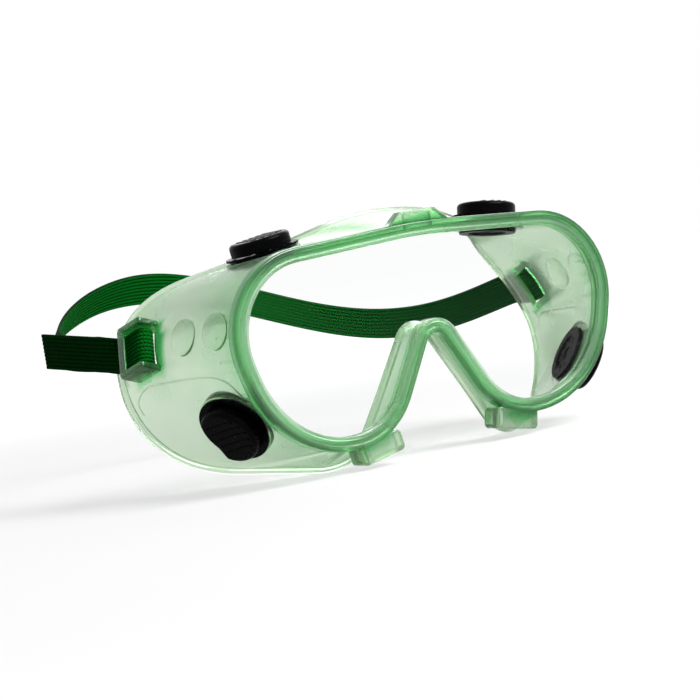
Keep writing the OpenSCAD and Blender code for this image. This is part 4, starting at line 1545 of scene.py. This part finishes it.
@dataclass
class Vents:
    """The four vents, each a cap that turns in its seat, as they are packed."""

    frame: dict
    node_start: str = "vent"
    joint_start: str = "turn_cap"

    def nodes(self) -> Objects:
        """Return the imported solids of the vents."""
        return [node for name, node in self.frame["nodes"].items() if name.startswith(self.node_start)]

    def places(self) -> list[Place]:
        """Return the spot of each vent on the wall, square to its cap's axis."""
        turning = [j for j in self.frame["joints"] if j["name"].startswith(self.joint_start)]
        return [place_out(np.array(j["pos_m"]) / MM, np.array(j["axis"])) for j in turning]


@dataclass
class PhotoCamera:
    """Camera at the photograph's angle."""

    azimuth: float = -33.0
    elevation: float = 2.498
    roll: float = -9.007
    place: Point = (-0.4172, -0.6131, 0.0267)
    focal_px: float = 2171.9
    reach: float = 20.0

    def build(self) -> None:
        """Make the scene's camera: it is turned to its azimuth and elevation, and then rolled."""
        az, el, ro = (math.radians(a) for a in (self.azimuth, self.elevation, self.roll))
        back = Vector((math.sin(az) * math.cos(el), -math.cos(az) * math.cos(el), math.sin(el)))
        level = Vector((math.cos(az), math.sin(az), 0.0))
        rise = back.cross(level)
        right = level * math.cos(ro) + rise * math.sin(ro)
        up = rise * math.cos(ro) - level * math.sin(ro)
        data = bpy.data.cameras.new("photo_camera")
        data.sensor_width = SENSOR_MM
        data.lens = self.focal_px / IMAGE_PX * SENSOR_MM
        data.clip_end = self.reach
        camera = bpy.data.objects.new("photo_camera", data)
        frame = Matrix((right, up, back)).transposed().to_4x4()
        frame.translation = Vector(self.place)
        camera.matrix_world = frame
        bpy.context.scene.collection.objects.link(camera)
        bpy.context.scene.camera = camera


@dataclass(frozen=True)
class Lamp:
    """Square soft lamp: its place and size in metres and its power in watts."""

    name: str
    place: Point
    size: float
    power: float

    def build(self) -> None:
        """Hang the lamp so that it faces the object."""
        data = bpy.data.lights.new(self.name, "AREA")
        data.size = self.size
        data.energy = self.power
        lamp = bpy.data.objects.new(self.name, data)
        lamp.location = self.place
        lamp.rotation_euler = (-Vector(self.place)).to_track_quat("-Z", "Y").to_euler()
        bpy.context.scene.collection.objects.link(lamp)


@dataclass
class Studio:
    """White floor and plain soft light. Lengths are in metres."""

    floor_z: float
    floor_half: float = 4.0
    floor: float = 0.25
    floor_rough: float = 0.9
    glow: Pair = (0.66, 0.975)
    glow_far: Pair = (0.25, 0.9)
    world: float = 0.1
    lamps: tuple[Lamp, ...] = (
        Lamp("key", (0.45, -0.75, 0.95), 0.7, 28.0),
        Lamp("fill", (0.7, 0.8, 0.7), 0.8, 5.0),
    )

    def build(self) -> None:
        """Make the floor, the world and the lamps."""
        edge = np.linspace(-self.floor_half, self.floor_half, 3)
        x, y = np.meshgrid(edge, edge, indexing="ij")
        floor = surface("floor", np.stack([x, y, np.full_like(x, self.floor_z)], 2))
        floor.data.materials.append(self.floor_material())
        floor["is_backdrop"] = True
        self.sky()
        for lamp in self.lamps:
            lamp.build()

    def floor_material(self) -> bpy.types.Material:
        """Make the floor's material: pale, with a glow where it is looked at that rises with the distance.

        Returns:
            The new material.
        """
        material, tree, shader, _ = new_material(
            "floor_white", Base_Color=(self.floor, self.floor, self.floor, 1.0), Roughness=self.floor_rough,
            Specular_IOR_Level=0.0, Emission_Color=(1.0, 1.0, 1.0, 1.0))
        where = tree.add("TexCoord")
        far = tree.add("VectorMath", operation="LENGTH")
        tree.link(where.outputs["Object"], far.inputs[0])
        glow = tree.add("MapRange", From_Min=self.glow_far[0], From_Max=self.glow_far[1], To_Min=self.glow[0],
                        To_Max=self.glow[1], interpolation_type="SMOOTHSTEP")
        tree.link(far.outputs["Value"], glow.inputs["Value"])
        shown = tree.math("MULTIPLY", glow.outputs["Result"], self.looked_at(tree))
        tree.link(shown, shader.inputs["Emission Strength"])
        return material

    def looked_at(self, tree: NodeTree) -> bpy.types.NodeSocket:
        """Tell rays that look from rays that only gather light.

        Args:
            tree: Tree that the nodes are added to.

        Returns:
            An output that is 1 where the camera, a reflection or clear plastic looks, and 0 elsewhere.
        """
        path = tree.add("LightPath").outputs
        seen = tree.math("MAXIMUM", path["Is Camera Ray"], path["Is Transmission Ray"])
        return tree.math("MAXIMUM", seen, path["Is Glossy Ray"])

    def sky(self) -> None:
        """Light from all round, pure white where the camera, a reflection or clear plastic sees it."""
        world = bpy.data.worlds.new("studio")
        world.use_nodes = True
        world.node_tree.nodes.clear()
        tree = NodeTree(world.node_tree)
        level = tree.add("MapRange", To_Min=self.world, To_Max=1.0)
        tree.link(self.looked_at(tree), level.inputs["Value"])
        light = tree.add("Background", Color=(1.0, 1.0, 1.0, 1.0))
        tree.link(level.outputs["Result"], light.inputs["Strength"])
        output = tree.add("OutputWorld")
        tree.link(light.outputs["Background"], output.inputs["Surface"])
        bpy.context.scene.world = world


def dress(obj: bpy.types.Object, material: bpy.types.Material) -> None:
    """Give an object one material, and report it.

    Args:
        obj: Piece that is dressed.
        material: Its material.
    """
    obj.data.materials.clear()
    obj.data.materials.append(material)
    LOG.info("%s: %d faces, %s", obj.name, len(obj.data.polygons), material.name)


def main() -> None:
    """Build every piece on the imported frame."""
    logging.basicConfig(level=logging.INFO, format="%(name)s: %(message)s")
    bpy.context.scene.view_settings.view_transform = "Standard"
    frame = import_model()
    cad_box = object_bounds()
    PhotoCamera().build()
    Studio(floor_z=min(p[2] for p in cad_box) - FLOOR_GAP).build()

    finishes = (VinylFinish, LensFinish, VentFinish, WebbingFinish, TailWebbingFinish)
    vinyl, lens, vent, webbing, tail_webbing = (finish().material() for finish in finishes)
    vents = Vents(frame)
    for node in vents.nodes():
        dress(node, vent)
    dress(frame["nodes"]["lens"], lens)

    strap = Strap(Mask(arc_steps=SOLID_ARC_STEPS, run_steps=SOLID_RUN_STEPS))
    mask = Moulding().build(vents.places(), strap)
    dress(mask, vinyl)
    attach(mask, "mask")
    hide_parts("frame_body")

    pieces = strap.build()
    for name, piece in pieces.items():
        # The tails get the darker copy of the webbing as painted shade.
        dress(piece, webbing if name == "loop" else tail_webbing)
    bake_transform(pieces["loop"])
    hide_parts("strap_rear", "strap_side_left", "strap_side_right")
    for side in Side:
        tail = f"tail_{side.name.lower()}"
        start, end = strap.hinge(side)
        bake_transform(pieces[tail])
        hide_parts(f"strap_{tail}")


if __name__ == "__main__":
    main()
